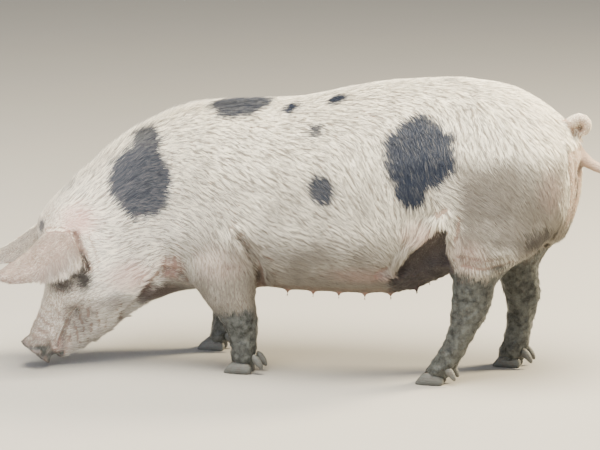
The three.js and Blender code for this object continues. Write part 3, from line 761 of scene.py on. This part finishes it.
def merged_copy(name, grow):
    """A CAD node as a closed mesh with shared corners, grown outwards."""
    shape = bmesh.new()
    shape.from_mesh(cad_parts[name].data)
    bmesh.ops.remove_doubles(shape, verts=shape.verts, dist=1e-5)
    shape.normal_update()
    moves = [(vert, vert.co + vert.normal * grow) for vert in shape.verts]
    for vert, place in moves:
        vert.co = place
    return shape


def add_object(name, mesh):
    """A new object with this mesh, linked, selected and active."""
    made = bpy.data.objects.new(name, mesh)
    bpy.context.scene.collection.objects.link(made)
    bpy.ops.object.select_all(action="DESELECT")
    bpy.context.view_layer.objects.active = made
    made.select_set(True)
    return made


def flesh():
    """All nodes of flesh in one mesh, with the sockets of the eyes filled, and a finder of the nearest."""
    joined = bmesh.new()
    corners, faces, owner = [], [], []
    for number, name in enumerate(FLESH):
        part = merged_copy(name, EAR_GROW if name in EARS else TRUNK_GROW)
        base = len(corners)
        corners += [v.co.copy() for v in part.verts]
        part.verts.index_update()
        for face in part.faces:
            faces.append([base + v.index for v in face.verts])
            owner.append(number)
        part.free()
    mesh = bpy.data.meshes.new("Sow_skin")
    mesh.from_pydata(corners, [], faces)
    joined.from_mesh(mesh)
    for name in ("eye_left", "eye_right"):
        low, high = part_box(name)
        bmesh.ops.create_icosphere(joined, subdivisions=3, radius=(high.x - low.x) / 2 * SOCKET_FILL,
                                   matrix=Matrix.Translation((low + high) / 2))
    joined.to_mesh(mesh)
    joined.free()
    return mesh, BVHTree.FromPolygons(corners, faces), np.array(owner)


def coordinates(mesh):
    """A mesh's corners as an array."""
    flat = np.zeros(len(mesh.vertices) * 3, np.float32)
    mesh.vertices.foreach_get("co", flat)
    return flat.reshape(-1, 3).astype(float)


def normals_of(mesh):
    """The normals at a mesh's corners."""
    mesh.update()
    flat = np.zeros(len(mesh.vertices) * 3, np.float32)
    mesh.vertices.foreach_get("normal", flat)
    return flat.reshape(-1, 3).astype(float)


def edges_of(mesh):
    """A mesh's edges as pairs of corners."""
    flat = np.zeros(len(mesh.edges) * 2, np.int32)
    mesh.edges.foreach_get("vertices", flat)
    return flat.reshape(-1, 2)


def neighbours_mean(values, edges, count):
    """The mean of each corner's neighbours."""
    a, b = edges.T
    size = np.bincount(a, minlength=count) + np.bincount(b, minlength=count)
    columns = values.reshape(count, -1)
    total = np.stack([np.bincount(a, column[b], count) + np.bincount(b, column[a], count)
                      for column in columns.T], 1)
    return (total / np.maximum(size, 1)[:, None]).reshape(values.shape)


def nearest_nodes(points, finder, owner):
    """Which node of flesh each place belongs to."""
    return np.array([owner[finder.find_nearest(Vector(p))[2]] for p in points])


def place_on(mesh, points):
    """Writes the corners back."""
    mesh.vertices.foreach_set("co", points.astype(np.float32).ravel())
    mesh.update()


def teats_at(body, around=10):
    """Whether each place is on a teat, or within so many mm of the middle of one."""
    first = TEATS_FROM + TEATS_LAG * (body[:, Y] > 0)
    number = np.clip(np.round((body[:, X] - first) / TEAT_SPACING), 0, TEATS - 1)
    away = np.hypot(body[:, X] - first - number * TEAT_SPACING, np.abs(body[:, Y]) - TEAT_OUTWARDS)
    return (away < around) & (body[:, Z] < TEATS_BELOW)


def smoothing_for(body, label):
    """How many rounds of smoothing each place gets: many on the trunk, few on what is small."""
    most = 42
    rounds = np.full(len(body), float(most))
    names = np.array(FLESH)[label]
    b = outwards(body)
    head = names == "head"
    rounds[head] = graded(b[head][:, X], ((-730, 9), (-600, 24), (NECK_END, most)))
    rounds[names == "snout_disc"] = 2
    rounds[np.isin(names, EARS)] = 3
    rounds[np.isin(names, TAIL)] = 5
    legs = np.isin(names, LEGS)
    rounds[legs] = graded(b[legs][:, Z], ((20, 5), (60, 7), (240, 12), (380, most)))
    rounds[(names == "trunk") & teats_at(body)] = 3
    fold = np.all((b > FLANK_FOLD[0]) & (b < FLANK_FOLD[1]), axis=1)
    rounds[fold] = np.minimum(rounds[fold], 14)
    return rounds


def smooth(mesh, rounds, edges):
    """Smooths each place by its number of rounds."""
    points = coordinates(mesh)
    count = len(points)
    for _ in range(6):
        rounds = np.where(rounds < 8, rounds, 0.5 * rounds + 0.5 * neighbours_mean(rounds, edges, count))
    for turn in range(int(rounds.max())):
        share = np.clip(rounds - turn, 0, 1)[:, None] * 0.6
        points += share * (neighbours_mean(points, edges, count) - points)
    place_on(mesh, points)


def sunk(b):
    """How far the skin has sunk from the solids that the creases are drawn on, in mm."""
    return np.where(b[:, 0] < NECK_END, 1.2, 3.0)


def off_creases(b, reach, shallowest=-math.inf):
    """For each crease its half width, its depth, the places near it and how far they are from it in mm."""
    for _, line, width, depth in CREASES:
        if depth < shallowest:
            continue
        ends = np.array(line)
        near = np.all((b > ends.min(0) - reach * width) & (b < ends.max(0) + reach * width), axis=1)
        yield width, depth, near, np.maximum(off_line(b[near], line)[0] - sunk(b[near]), 0)


def relief_at(body):
    """Height of muscles, folds and crumbs of mud over the smooth body, in mm."""
    b = outwards(body)
    height = np.zeros(len(b))
    for _, centre, half, rise in SWELLINGS:
        height += rise * np.exp(-spread(b, centre, half))
    for width, depth, near, away in off_creases(b, 4):
        lips = 0.3 * np.exp(-((away - 2.2 * width) / width) ** 2)
        height[near] -= depth * (np.exp(-(away / width) ** 2) - lips)
    muddy_below = np.where(b[:, X] > HIND_FROM, 290, 160)
    crumbs = 1.1 * wander(body, 13, 61) + 1.1 * wander(body, 26, 62)
    return height + crumbs * ramp(b[:, Z], muddy_below, muddy_below - 20)


def crevices_at(body):
    """How deep in a crease each place is, from 0 to 1. Dirt and shadow gather there."""
    b = outwards(body)
    deep = np.zeros(len(b))
    for width, depth, near, away in off_creases(b, 3, shallowest=2.5):
        deep[near] = np.maximum(deep[near], min(1, depth / 7) * np.exp(-(away / width) ** 2))
    return deep


def refine(mesh, chosen):
    """Halves the edges between chosen corners."""
    shape = bmesh.new()
    shape.from_mesh(mesh)
    shape.verts.ensure_lookup_table()
    flags = set(np.flatnonzero(chosen).tolist())
    edges = [e for e in shape.edges if e.verts[0].index in flags and e.verts[1].index in flags]
    bmesh.ops.subdivide_edges(shape, edges=edges, cuts=1, use_grid_fill=True, smooth=0.0)
    shape.to_mesh(mesh)
    shape.free()


def eye_frame(side):
    """One eye's centre, and the ways along its slit, across it and out, in the model's frame."""
    outward = np.array([1, side, 1])
    centre = np.array([EYE]) * outward
    out = turn_to_model(centre, unit(np.array([EYE_LOOKS]) * outward))[0]
    along = turn_to_model(centre, np.array([EYE_SLIT]) * outward)[0]
    along = along - (along @ out) * out
    along /= np.linalg.norm(along)
    return to_model(centre)[0], along, np.cross(along, out), out


def carve_eyes(points):
    """Opens the lids over each eyeball: a long slit with a rolled rim that fits the ball."""
    radius = EYE_RADIUS / 1000
    slit_length, slit_height = 0.0125, 0.0062  # half of each
    lids_over_ball = 0.0018
    for side in (-1, 1):
        centre, along, across, out = eye_frame(side)
        away = points - centre
        u, v, w = away @ along, away @ across, away @ out
        reach = np.hypot(u, v)
        near = (reach < 0.034) & (np.abs(w) < 0.022)
        # Outside the slit the lids lie on the ball and run out into the face.
        ball = np.sqrt(np.maximum((radius + lids_over_ball) ** 2 - reach ** 2, 0))
        wanted = np.maximum(ball, 0.002)
        rise = np.where(reach < radius, wanted - w, np.maximum(wanted - 0.004 - w, 0) * 0.5)
        points = points + (near * ramp(reach, 0.030, 0.011) * rise)[:, None] * out
        slit = np.abs(v) / np.maximum(slit_height * (1 - (u / slit_length) ** 2), 1e-5)
        opened = near * ramp(slit, 1.15, 0.85) * (np.abs(u) < slit_length)
        points = points - (opened * 0.0085)[:, None] * out
        rim = near * np.exp(-((slit - 1.3) / 0.35) ** 2) * (np.abs(u) < slit_length + 0.002)
        points = points + (rim * 0.0007)[:, None] * out
    return points


def carve_nostrils(points):
    """Two deep nostrils in the disc, each a slanting oval with a raised rim."""
    middle = np.array([[-760.0, 0.0, 35.0]])
    front = turn_to_model(middle, unit(np.array([[-0.63, 0, -0.777]])))[0]
    upper = turn_to_model(middle, unit(np.array([[-0.777, 0, 0.63]])))[0]
    across = np.cross(upper, front)
    away = points - to_model(middle)[0]
    u, v, w = away @ upper, away @ across, away @ front
    on_disc = (w > -0.012) & (w < 0.016)
    for side in (-1, 1):
        du, dv = u - 0.002, v - side * 0.016
        long_way = du * 0.94 + side * dv * 0.34
        short_way = dv * 0.94 - side * du * 0.34
        reach = np.hypot(long_way / 0.0115, short_way / 0.0078)
        raised = 0.0012 * np.exp(-((reach - 1.35) / 0.3) ** 2) - 0.014 * ramp(reach, 1.1, 0.55)
        points = points + (on_disc * raised)[:, None] * front
    return points


def coat_depth_at(body, label, deep):
    """How far the skin lies under the tips of the coat, in metres, from its depth on the trunk."""
    names = np.array(FLESH)[label]
    depth = np.full(len(body), deep)
    head = names == "head"
    depth[head] = graded(body[head][:, X], ((-720, 0.0012), (NECK_END, deep * 0.8)))
    depth[names == "snout_disc"] = 0.0004
    depth[np.isin(names, EARS)] = 0.0008
    depth[np.isin(names, TAIL)] = 0.001
    legs = np.isin(names, LEGS)
    depth[legs] = graded(body[legs][:, Z], ((40, 0.0012), (250, 0.0022), (400, deep)))
    return depth


def store(mesh, **values):
    """Stores numbers on a mesh's corners."""
    for name, numbers in values.items():
        made = mesh.attributes.new(name, "FLOAT", "POINT")
        made.data.foreach_set("value", numbers.astype(np.float32))


def markings_at(body, label):
    """Her markings at each place, by name, as the materials read them."""
    names = np.array(FLESH)[label]
    disc = (names == "snout_disc").astype(float)
    ears = np.isin(names, EARS).astype(float)
    legs = np.isin(names, LEGS).astype(float)
    return {"spot": spots_and_groin_shade_at(body), "dark_hide_and_shade": dark_hide_and_shade_at(body), "mud": mud_at(body, legs, disc),
            "pink": pink_at(body, disc, ears), "soil_and_shade": soil_and_shade_at(body, ears, np.isin(names, TAIL))}


def sink(mesh, label, coat_depth):
    """Lowers the skin by the depth of the coat, and by what the solids were grown."""
    body = to_body(coordinates(mesh))
    grown = np.where(np.isin(np.array(FLESH)[label], EARS), EAR_GROW, TRUNK_GROW)
    depth = coat_depth_at(body, label, coat_depth) + grown
    edges = edges_of(mesh)
    for _ in range(3):
        depth = neighbours_mean(depth, edges, len(depth))
    place_on(mesh, coordinates(mesh) - normals_of(mesh) * depth[:, None])


def refine_face(mesh):
    """Makes finer faces round the eyes, the nostrils and the mouth, twice, and the second time closer in."""
    for eye_reach, nostril_reach, mouth_reach in ((34, 32, 14), (22, 24, 7)):
        b = outwards(to_body(coordinates(mesh)))
        fine = (distance(b, EYE) < eye_reach) | (distance(b, NOSTRIL) < nostril_reach)
        refine(mesh, fine | (off_line(b, MOUTH)[0] < mouth_reach))


def build_skin():
    """The one skin over all of the flesh."""
    shape = bpy.context.scene.sow_shape
    mesh, finder, owner = flesh()
    skin = add_object("skin", mesh)
    mesh.remesh_voxel_size = shape.grain
    if bpy.ops.object.voxel_remesh() != {"FINISHED"}:
        raise RuntimeError("the flesh could not be made one skin")
    mesh = skin.data
    points = coordinates(mesh)
    label = nearest_nodes(points, finder, owner)
    smooth(mesh, smoothing_for(to_body(points), label), edges_of(mesh))
    sink(mesh, label, shape.coat_depth)
    refine_face(mesh)
    points = coordinates(mesh)
    points += normals_of(mesh) * (relief_at(to_body(points)) * shape.relief / 1000)[:, None]
    place_on(mesh, carve_nostrils(carve_eyes(points)))

    points = coordinates(mesh)
    label = nearest_nodes(points, finder, owner)
    store(mesh, **markings_at(to_body(points), label), label=label)
    mesh.materials.clear()
    mesh.materials.append(skin_material())
    bpy.ops.object.shade_smooth()
    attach(skin, "root")
    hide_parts(*FLESH)


class SOW_OT_skin(bpy.types.Operator):
    """Build one skin in place of all the solids of flesh"""

    bl_idname = "sow.skin"
    bl_label = "Skin"

    def execute(self, context):
        build_skin()
        return {"FINISHED"}


# ------------------------------------------------------------------ eyes


class SOW_OT_eyes(bpy.types.Operator):
    """Build the eyeballs"""

    bl_idname = "sow.eyes"
    bl_label = "Eyes"

    def execute(self, context):
        look = eye_material()
        for name, side in (("eye_left", -1), ("eye_right", 1)):
            low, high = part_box(name)
            _, _, _, out = eye_frame(side)
            bpy.ops.object.select_all(action="DESELECT")
            bpy.ops.mesh.primitive_uv_sphere_add(segments=40, ring_count=28, radius=EYE_RADIUS / 1000)
            ball = context.object
            ball.name = name.replace("eye", "eyeball")
            points = coordinates(ball.data)
            out_of_axis = np.hypot(points[:, 0], points[:, 1]) / (EYE_RADIUS / 1000)
            front = points[:, 2] > 0
            store(ball.data, from_axis=np.where(front, out_of_axis, 1.0))
            points[:, 2] += np.where(front, 0.0009 * ramp(out_of_axis, 0.75, 0.1), 0)
            place_on(ball.data, points)
            ball.data.transform(Vector((0, 0, 1)).rotation_difference(Vector(out)).to_matrix().to_4x4())
            ball.data.transform(Matrix.Translation((low + high) / 2))
            bpy.ops.object.shade_smooth()
            ball.data.materials.append(look)
            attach(ball, "root")
            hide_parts(name)
        return {"FINISHED"}


# ------------------------------------------------------------------ claws

ROUNDING_LOSS = 0.0008  # the claws are grown by what the rounding takes off them


class SOW_OT_claws(bpy.types.Operator):
    """Round the claws and dewclaws of each foot"""

    bl_idname = "sow.claws"
    bl_label = "Claws"

    def execute(self, context):
        look = horn_material()
        for leg in LEGS:
            names = [f"{leg}_{claw}" for claw in CLAWS]
            shape = bmesh.new()
            for name in names:
                part = merged_copy(name, ROUNDING_LOSS)
                claw = bpy.data.meshes.new("claw")
                part.to_mesh(claw)
                shape.from_mesh(claw)
                part.free()
                bpy.data.meshes.remove(claw)
            mesh = bpy.data.meshes.new(f"claws_{leg}")
            shape.to_mesh(mesh)
            shape.free()
            claws = add_object(mesh.name, mesh)
            rounding = claws.modifiers.new("rounding", "SUBSURF")
            rounding.levels = rounding.render_levels = 2
            bpy.ops.object.modifier_apply(modifier=rounding.name)
            points = coordinates(claws.data)
            points[:, 2] = np.maximum(points[:, 2], 0)
            place_on(claws.data, points)
            bpy.ops.object.shade_smooth()
            claws.data.materials.append(look)
            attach(claws, "root")
            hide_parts(*names)
        return {"FINISHED"}


# ------------------------------------------------------------------ coat

TRUNK_LIFT = 6.5  # how far the tufts of the trunk stand up, in degrees
PATCH = 0.003  # the side of a tuft's patch in OFBake


def skin_triangles(mesh):
    """The skin's triangles as corner numbers, with their areas in square metres."""
    mesh.calc_loop_triangles()
    flat = np.zeros(len(mesh.loop_triangles) * 3, np.int32)
    mesh.loop_triangles.foreach_get("vertices", flat)
    corners = flat.reshape(-1, 3)
    points = coordinates(mesh)
    a, b, c = (points[corners[:, k]] for k in range(3))
    return corners, np.linalg.norm(np.cross(b - a, c - a), axis=1) / 2


def density_at(body, names):
    """How thickly the bristles stand, 1 on the trunk."""
    b = outwards(body)
    thick = np.ones(len(b))
    head = names == "head"
    thick[head] = graded(b[head][:, X], ((-735, 2.6), (NECK_END, 1.5)))
    thick[names == "snout_disc"] = 0
    thick[np.isin(names, EARS)] = 2.2
    thick[np.isin(names, TAIL)] = 3.2
    legs = np.isin(names, LEGS)
    thick[legs] = graded(b[legs][:, Z], ((0, 0.8), (60, 1.6), (300, 1.6), (420, 1.1)))
    thick *= ramp(distance(b, EYE), 17, 22)
    thick *= (0.15 + 0.85 * ramp(off_line(b, MOUTH)[0], 3, 8)) * (1 - 0.4 * bare_at(body, names))
    caked = ramp(mud_at(body, legs.astype(float), (names == "snout_disc").astype(float)), 0.3, 0.75)
    return thick * (0.1 + 0.9 * ramp(ear_gap(b), 0.8, 1.2)) * (1 - 0.94 * caked) * ~teats_at(body, 5.5)


def sizes_at(body, names):
    """Length and width of the tufts as shares of the trunk's, and how far they stand up, in degrees."""
    b = outwards(body)
    long = np.ones(len(b))
    wide = np.ones(len(b))
    lift = np.full(len(b), TRUNK_LIFT)
    head = names == "head"
    long[head] = graded(b[head][:, X], ((-760, 0.2), (-700, 0.32), (-640, 0.5), (-540, 0.9)))
    wide[head] = graded(b[head][:, X], ((-760, 0.4), (-700, 0.5), (-640, 0.65), (-540, 0.9)))
    crest = within(b, CREST)
    long += 0.25 * crest
    lift += 5 * crest
    chin = head & (b[:, Z] < 60)
    long[chin] = 0.5
    lift[chin] = 14
    ears = np.isin(names, EARS)
    rim = ramp(off_line(b[ears], EAR_LINE)[0], 45, 62)
    fringe = ear_fringe(b[ears])
    long[ears] = 0.3 + 0.15 * rim + 0.55 * fringe
    wide[ears] = 0.42
    lift[ears] = 4 + 3 * rim + 9 * fringe
    tail = np.isin(names, TAIL)
    long[tail] = graded(body[tail][:, X], ((560, 0.26), (640, 0.14), (700, 0.4), (738, 1.3)))
    wide[tail] = 0.5
    lift[tail] = graded(body[tail][:, X], ((560, 6), (640, 4), (700, 7), (738, 12)))
    legs = np.isin(names, LEGS)
    long[legs] = graded(b[legs][:, Z], ((20, 0.32), (150, 0.42), (300, 0.65), (420, 1.0)))
    wide[legs] = graded(b[legs][:, Z], ((20, 0.55), (150, 0.65), (300, 0.8), (420, 1.0)))
    lift[legs] = graded(b[legs][:, Z], ((20, 11), (300, 8), (420, TRUNK_LIFT)))
    bare = bare_at(body, names)
    return long * (1 - 0.78 * bare), wide * (1 - 0.5 * bare), lift


def unwrap(body, names):
    """Places on an unwrap of the skin: the body rolled out along its middle line, legs, ears and tail."""
    spine = np.array([(x, 0, z) for x, z in SPINE], float)
    runs = np.linalg.norm(np.diff(spine, axis=0), axis=1)
    starts = np.concatenate([[0], np.cumsum(runs)])
    flat = body * [1, 0, 1]
    best, along, above = np.full(len(body), 1e9), np.zeros(len(body)), np.zeros(len(body))
    for start, end, run, far in zip(spine[:-1], spine[1:], runs, starts):
        way = (end - start) / run
        share = np.clip((flat - start) @ way, 0, run)
        off = flat - start - share[:, None] * way
        away = np.linalg.norm(off, axis=1)
        nearer = away < best
        best[nearer] = away[nearer]
        along[nearer] = (far + share)[nearer]
        above[nearer] = (off @ np.array([way[2], 0, -way[0]]))[nearer]
    around = np.arctan2(body[:, 1], above) / (2 * math.pi) + 0.5
    u = 0.02 + 0.96 * along / starts[-1]
    v = 0.44 + 0.54 * around
    for number, leg in enumerate(LEGS):
        here = names == leg
        low, high = (to_body(np.array([corner]))[0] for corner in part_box(leg))
        middle = (low + high) / 2
        turned = np.arctan2(body[here][:, 1] - middle[1], body[here][:, 0] - middle[0]) / (2 * math.pi) + 0.5
        u[here] = 0.02 + 0.16 * (number + 0.9 * turned)
        v[here] = 0.02 + 0.38 * np.clip(body[here][:, 2] / 460, 0, 1)
    root, tip = np.array(EAR_LINE[0], float), np.array(EAR_LINE[-1], float)
    for number, part in enumerate(EARS):
        here = names == part
        b = outwards(body[here])
        down = (b - root) @ (tip - root) / ((tip - root) @ (tip - root))
        over = (b - root) @ (np.array(EAR_ACROSS) / np.linalg.norm(EAR_ACROSS)) / 160 + 0.5
        u[here] = 0.67 + 0.12 * number + 0.1 * np.clip(over, 0, 1)
        v[here] = 0.02 + 0.38 * np.clip(down, 0, 1)
    tail = np.isin(names, TAIL)
    u[tail] = 0.92 + 0.05 * np.clip((body[tail][:, 0] - 550) / 190, 0, 1)
    v[tail] = 0.02 + 0.38 * np.clip((body[tail][:, 2] - 450) / 220, 0, 1)
    return np.stack([np.clip(u, 0.004, 0.996), np.clip(v, 0.004, 0.996)], 1)


def plant(mesh, count, draw):
    """Roots spread over the skin: their places, the normals there, and the node each is on."""
    corners, areas = skin_triangles(mesh)
    points, normals = coordinates(mesh), normals_of(mesh)
    label = np.zeros(len(points), np.float32)
    mesh.attributes["label"].data.foreach_get("value", label)
    centres = points[corners].mean(1)
    owner = label[corners[:, 0]].astype(int)
    weight = areas * density_at(to_body(centres), np.array(FLESH)[owner])
    share = weight / weight.sum() * count
    number = np.floor(share + draw.random(len(share))).astype(int)
    chosen = np.repeat(np.arange(len(share)), number)
    a, b = draw.random((2, len(chosen)))
    flip = a + b > 1
    a[flip], b[flip] = 1 - a[flip], 1 - b[flip]
    parts = np.stack([1 - a - b, a, b], 1)[:, :, None]
    place = (points[corners[chosen]] * parts).sum(1)
    facing = unit((normals[corners[chosen]] * parts).sum(1))
    return place, facing, owner[chosen]


def tuft_mesh(name, roots, facing, ways, long, wide, lift):
    """Closed spikes of four faces, lying along the skin: a root, two shoulders a third along, and a tip."""
    across = unit(np.cross(facing, ways))
    rise = np.radians(lift)[:, None]
    run = (ways * np.cos(rise) + facing * np.sin(rise)) * long[:, None]
    half = across * wide[:, None] / 2
    drop = facing * wide[:, None]
    shoulders = roots + run * 0.35 - drop * 0.35
    points = np.stack([roots - drop * 0.2, shoulders + half, shoulders - half, roots + run], 1).reshape(-1, 3)
    faces = np.array([[0, 3, 1], [0, 2, 3], [0, 1, 2], [3, 2, 1]])
    corners = (np.arange(len(roots))[:, None, None] * 4 + faces).reshape(-1)
    mesh = bpy.data.meshes.new(name)
    mesh.vertices.add(len(points))
    mesh.vertices.foreach_set("co", points.astype(np.float32).ravel())
    mesh.loops.add(len(corners))
    mesh.loops.foreach_set("vertex_index", corners.astype(np.int32))
    mesh.polygons.add(len(corners) // 3)
    mesh.polygons.foreach_set("loop_start", np.arange(0, len(corners), 3, dtype=np.int32))
    mesh.polygons.foreach_set("use_smooth", np.zeros(len(corners) // 3, bool))
    mesh.update(calc_edges=True)
    return mesh


def bake_patches(mesh, places):
    """The OFBake map: each tuft is a patch at its root's place, with a quarter of it for each face."""
    quarter = PATCH / 2
    starts = np.array([[-1, -1], [0, -1], [-1, 0], [0, 0]]) * quarter
    triangle = np.array([[0.04, 0.04], [0.96, 0.04], [0.04, 0.96]]) * quarter
    patch = (starts[:, None] + triangle[None]).reshape(-1, 2)
    centres = np.clip(places, PATCH, 1 - PATCH)
    corners = (centres[:, None] + patch[None]).reshape(-1, 2)
    mesh.uv_layers.new(name="OFBake").data.foreach_set("uv", corners.astype(np.float32).ravel())


def nearest_locks(tree, places):
    """The number of the lock nearest to each place."""
    return np.array([tree.find(place)[1] for place in places])


def gather(skin, count):
    """Locks, the small groups in which the bristles cling together: their places, their shades (painted
    shadow between them) and finder.
    """
    draw = np.random.default_rng(LOCKS_SEED)
    places, facing, owner = plant(skin, count, draw)
    tree = KDTree(len(places))
    for number, place in enumerate(places):
        tree.insert(place, number)
    tree.balance()
    ways = lie_at(to_body(places), facing, owner)
    shades = draw.random(len(places))
    # The painted shades are drawn out along the hair and set off against those beside them.
    for reach in (0.006, 0.014):
        behind = shades[nearest_locks(tree, places - ways * reach)]
        shades = shades + behind + shades[nearest_locks(tree, places + ways * reach)]
    beside = np.cross(facing, ways) * 0.0045
    left, right = (shades[nearest_locks(tree, places + step)] for step in (beside, -beside))
    shades = shades - 0.5 * (left + right)
    return places, np.argsort(np.argsort(shades)) / len(shades), tree


def mark_tufts(mesh, middles, owner, draw):
    """Stores her markings on the tufts, from places a little astray, so that the edges are hairy."""
    marks = markings_at(middles + draw.normal(0, 4.5, middles.shape), owner)
    marks["spot"] = marks["spot"] * (1 - 0.1 * draw.random(len(owner)) ** 3)
    store(mesh, **{name: np.repeat(values, 4) for name, values in marks.items()})


def shade_tufts(mesh, body, names, lock_shades, draw):
    """Stores how deep in painted shadow each tuft is, mostly as its lock is, and how near each corner is to
    the tip.
    """
    clump = 0.5 * wander(body, 16, 51) + 0.5 * wander(body, 7, 52)
    lock_shadow = 0.82 * lock_shades + 0.18 * draw.random(len(body)) + 0.05 * clump
    contrast = np.ones(len(body))
    # The far ear's locks get little painted shadow, so that it shows pale as if lit; the head and the tail
    # get less too.
    for parts, share in ((TAIL, 0.15), (("head",), 0.7), (("ear_right",), 0.25)):
        contrast[np.isin(names, parts)] = share
    shade = contrast * ramp(lock_shadow, 0.42, 0.78)
    shade = np.clip(0.04 + 0.96 * shade + draw.normal(0, 0.04, len(body)), 0, 1)
    store(mesh, shade=np.repeat(shade, 4), tip=np.tile([0, 0.4, 0.4, 1], len(body)))


def coat_piece(number, skin, locks):
    """The mesh of one piece of the coat: tufts planted, laid along the skin, mapped, marked and shaded."""
    coat = bpy.context.scene.sow_coat
    thinning = 1
    lock_places, lock_shades, finder = locks
    draw = np.random.default_rng(COAT_SEED + number)
    roots, facing, owner = plant(skin, coat.tufts // thinning, draw)
    body = to_body(roots)
    names = np.array(FLESH)[owner]
    long, wide, lift = sizes_at(body, names)
    ways = unit(turned(lie_at(body, facing, owner), facing, draw.normal(0, 0.06, len(roots))))
    long = long * coat.length * draw.uniform(0.65, 1.25, len(roots))
    lock = nearest_locks(finder, roots)
    pull = (lock_places[lock] - roots) / long[:, None] * 0.7
    pull -= (pull * facing).sum(1, keepdims=True) * facing
    ways = unit(ways + np.clip(pull, -0.35, 0.35))
    wide = wide * coat.width * draw.uniform(0.75, 1.3, len(roots)) * math.sqrt(thinning)
    lift = lift * draw.uniform(0.5, 1.5, len(roots))
    mesh = tuft_mesh(f"coat_{number + 1}", roots, facing, ways, long, wide, lift)
    bake_patches(mesh, unwrap(body, names))
    mark_tufts(mesh, to_body(roots + ways * long[:, None] * 0.5), owner, draw)
    shade_tufts(mesh, body, names, lock_shades[lock], draw)
    return mesh


class SOW_OT_coat(bpy.types.Operator):
    """Lay the bristles over the skin"""

    bl_idname = "sow.coat"
    bl_label = "Coat"

    def execute(self, context):
        coat = context.scene.sow_coat
        skin = bpy.data.objects["skin"].data
        look = bristle_material()
        locks = gather(skin, coat.locks // (1))
        for number in range(coat.pieces):
            mesh = coat_piece(number, skin, locks)
            mesh.materials.append(look)
            piece = add_object(mesh.name, mesh)
            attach(piece, "root")
        return {"FINISHED"}


# ------------------------------------------------------------------ stage

CAMERA_AZIMUTH = math.radians(14)
CAMERA_HEIGHT = math.radians(11)
CAMERA_DISTANCE = 8.0
CAMERA_TARGET = (-77.0, 0.0, 358.0)  # body coordinates
SENSOR = 36.0  # mm wide
LENS = 192.0  # mm
FLOOR_SIDE = 40  # metres
MIDDLE = (0.0, 0.0, 0.4)  # of the sow, in metres
# Lights: name, place, aim and side in metres, watts, colour and the width of the beam in degrees.
LIGHTS = (
    ("sky", (0.5, -1.0, 5.0), MIDDLE, 3.6, 1120, "#fff6e3"),
    ("rim", (4.2, 2.2, 3.3), MIDDLE, 1.2, 1050, "#ffedc8"),
    ("fill", (-1.5, -5.5, 3.0), MIDDLE, 4.0, 230, "#e6eeff"),
    ("face", (1.1, -5.6, 1.2), (-0.8, -0.09, 0.29), 0.6, 2.6, "#f6f8ff", 12),
)


def area_light(name, place, aim, size, power, colour, beam=180):
    """A soft square light, whose beam is so many degrees wide."""
    light = bpy.data.lights.new(name, "AREA")
    light.size = size
    light.energy = power
    light.color = linear(colour)[:3]
    light.spread = math.radians(beam)
    lamp = bpy.data.objects.new(name, light)
    lamp.location = place
    lamp.rotation_euler = (Vector(aim) - Vector(place)).to_track_quat("-Z", "Y").to_euler()
    bpy.context.scene.collection.objects.link(lamp)


class SOW_OT_stage(bpy.types.Operator):
    """Set the floor, the lights and the camera"""

    bl_idname = "sow.stage"
    bl_label = "Stage"

    def execute(self, context):
        bpy.ops.object.select_all(action="DESELECT")
        bpy.ops.mesh.primitive_plane_add(size=FLOOR_SIDE)
        floor = context.object
        floor.name = "stage_floor"
        floor.data.materials.append(floor_material())
        target = Vector(CAMERA_TARGET) / 1000 + Vector(shift())
        back = Vector((math.sin(CAMERA_AZIMUTH) * math.cos(CAMERA_HEIGHT),
                       -math.cos(CAMERA_AZIMUTH) * math.cos(CAMERA_HEIGHT), math.sin(CAMERA_HEIGHT)))
        eye = bpy.data.cameras.new("camera")
        eye.lens = LENS
        eye.sensor_width = SENSOR
        eye.clip_end = 100
        camera = bpy.data.objects.new("camera", eye)
        camera.location = target + back * CAMERA_DISTANCE
        camera.rotation_euler = (-back).to_track_quat("-Z", "Y").to_euler()
        context.scene.collection.objects.link(camera)
        context.scene.camera = camera
        for light in LIGHTS:
            area_light(*light)
        world = bpy.data.worlds.new("sky")
        context.scene.world = world
        world.use_nodes = True
        sky = world.node_tree.nodes["Background"]
        sky.inputs["Color"].default_value = linear("#dfe3e8")
        sky.inputs["Strength"].default_value = 0.6
        return {"FINISHED"}


class SOW_PT_panel(bpy.types.Panel):
    """The sow's settings and steps"""

    bl_label = "Sow"
    bl_idname = "SOW_PT_panel"
    bl_space_type = "VIEW_3D"
    bl_region_type = "UI"
    bl_category = "Sow"

    def draw(self, context):
        scene = context.scene
        for group in (scene.sow_shape, scene.sow_coat, scene.sow_colours):
            for name in group.__annotations__:
                self.layout.prop(group, name)
        for step in STEPS:
            self.layout.operator(step.bl_idname)


STEPS = (SOW_OT_skin, SOW_OT_eyes, SOW_OT_claws, SOW_OT_coat, SOW_OT_stage)
GROUPS = {"sow_shape": SowShape, "sow_coat": SowCoat, "sow_colours": SowColours}


def register():
    """Registers the settings, the steps and the panel."""
    for made in (*GROUPS.values(), *STEPS, SOW_PT_panel):
        bpy.utils.register_class(made)
    for name, group in GROUPS.items():
        setattr(bpy.types.Scene, name, PointerProperty(type=group))


def unregister():
    """Takes them out again."""
    for name in GROUPS:
        delattr(bpy.types.Scene, name)
    for made in (SOW_PT_panel, *reversed(STEPS), *GROUPS.values()):
        bpy.utils.unregister_class(made)


def main():
    """Builds the sow."""
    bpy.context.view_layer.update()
    register()
    bpy.ops.sow.skin()
    bpy.ops.sow.eyes()
    bpy.ops.sow.claws()
    bpy.ops.sow.coat()
    bpy.ops.sow.stage()


if __name__ == "__main__":
    main()
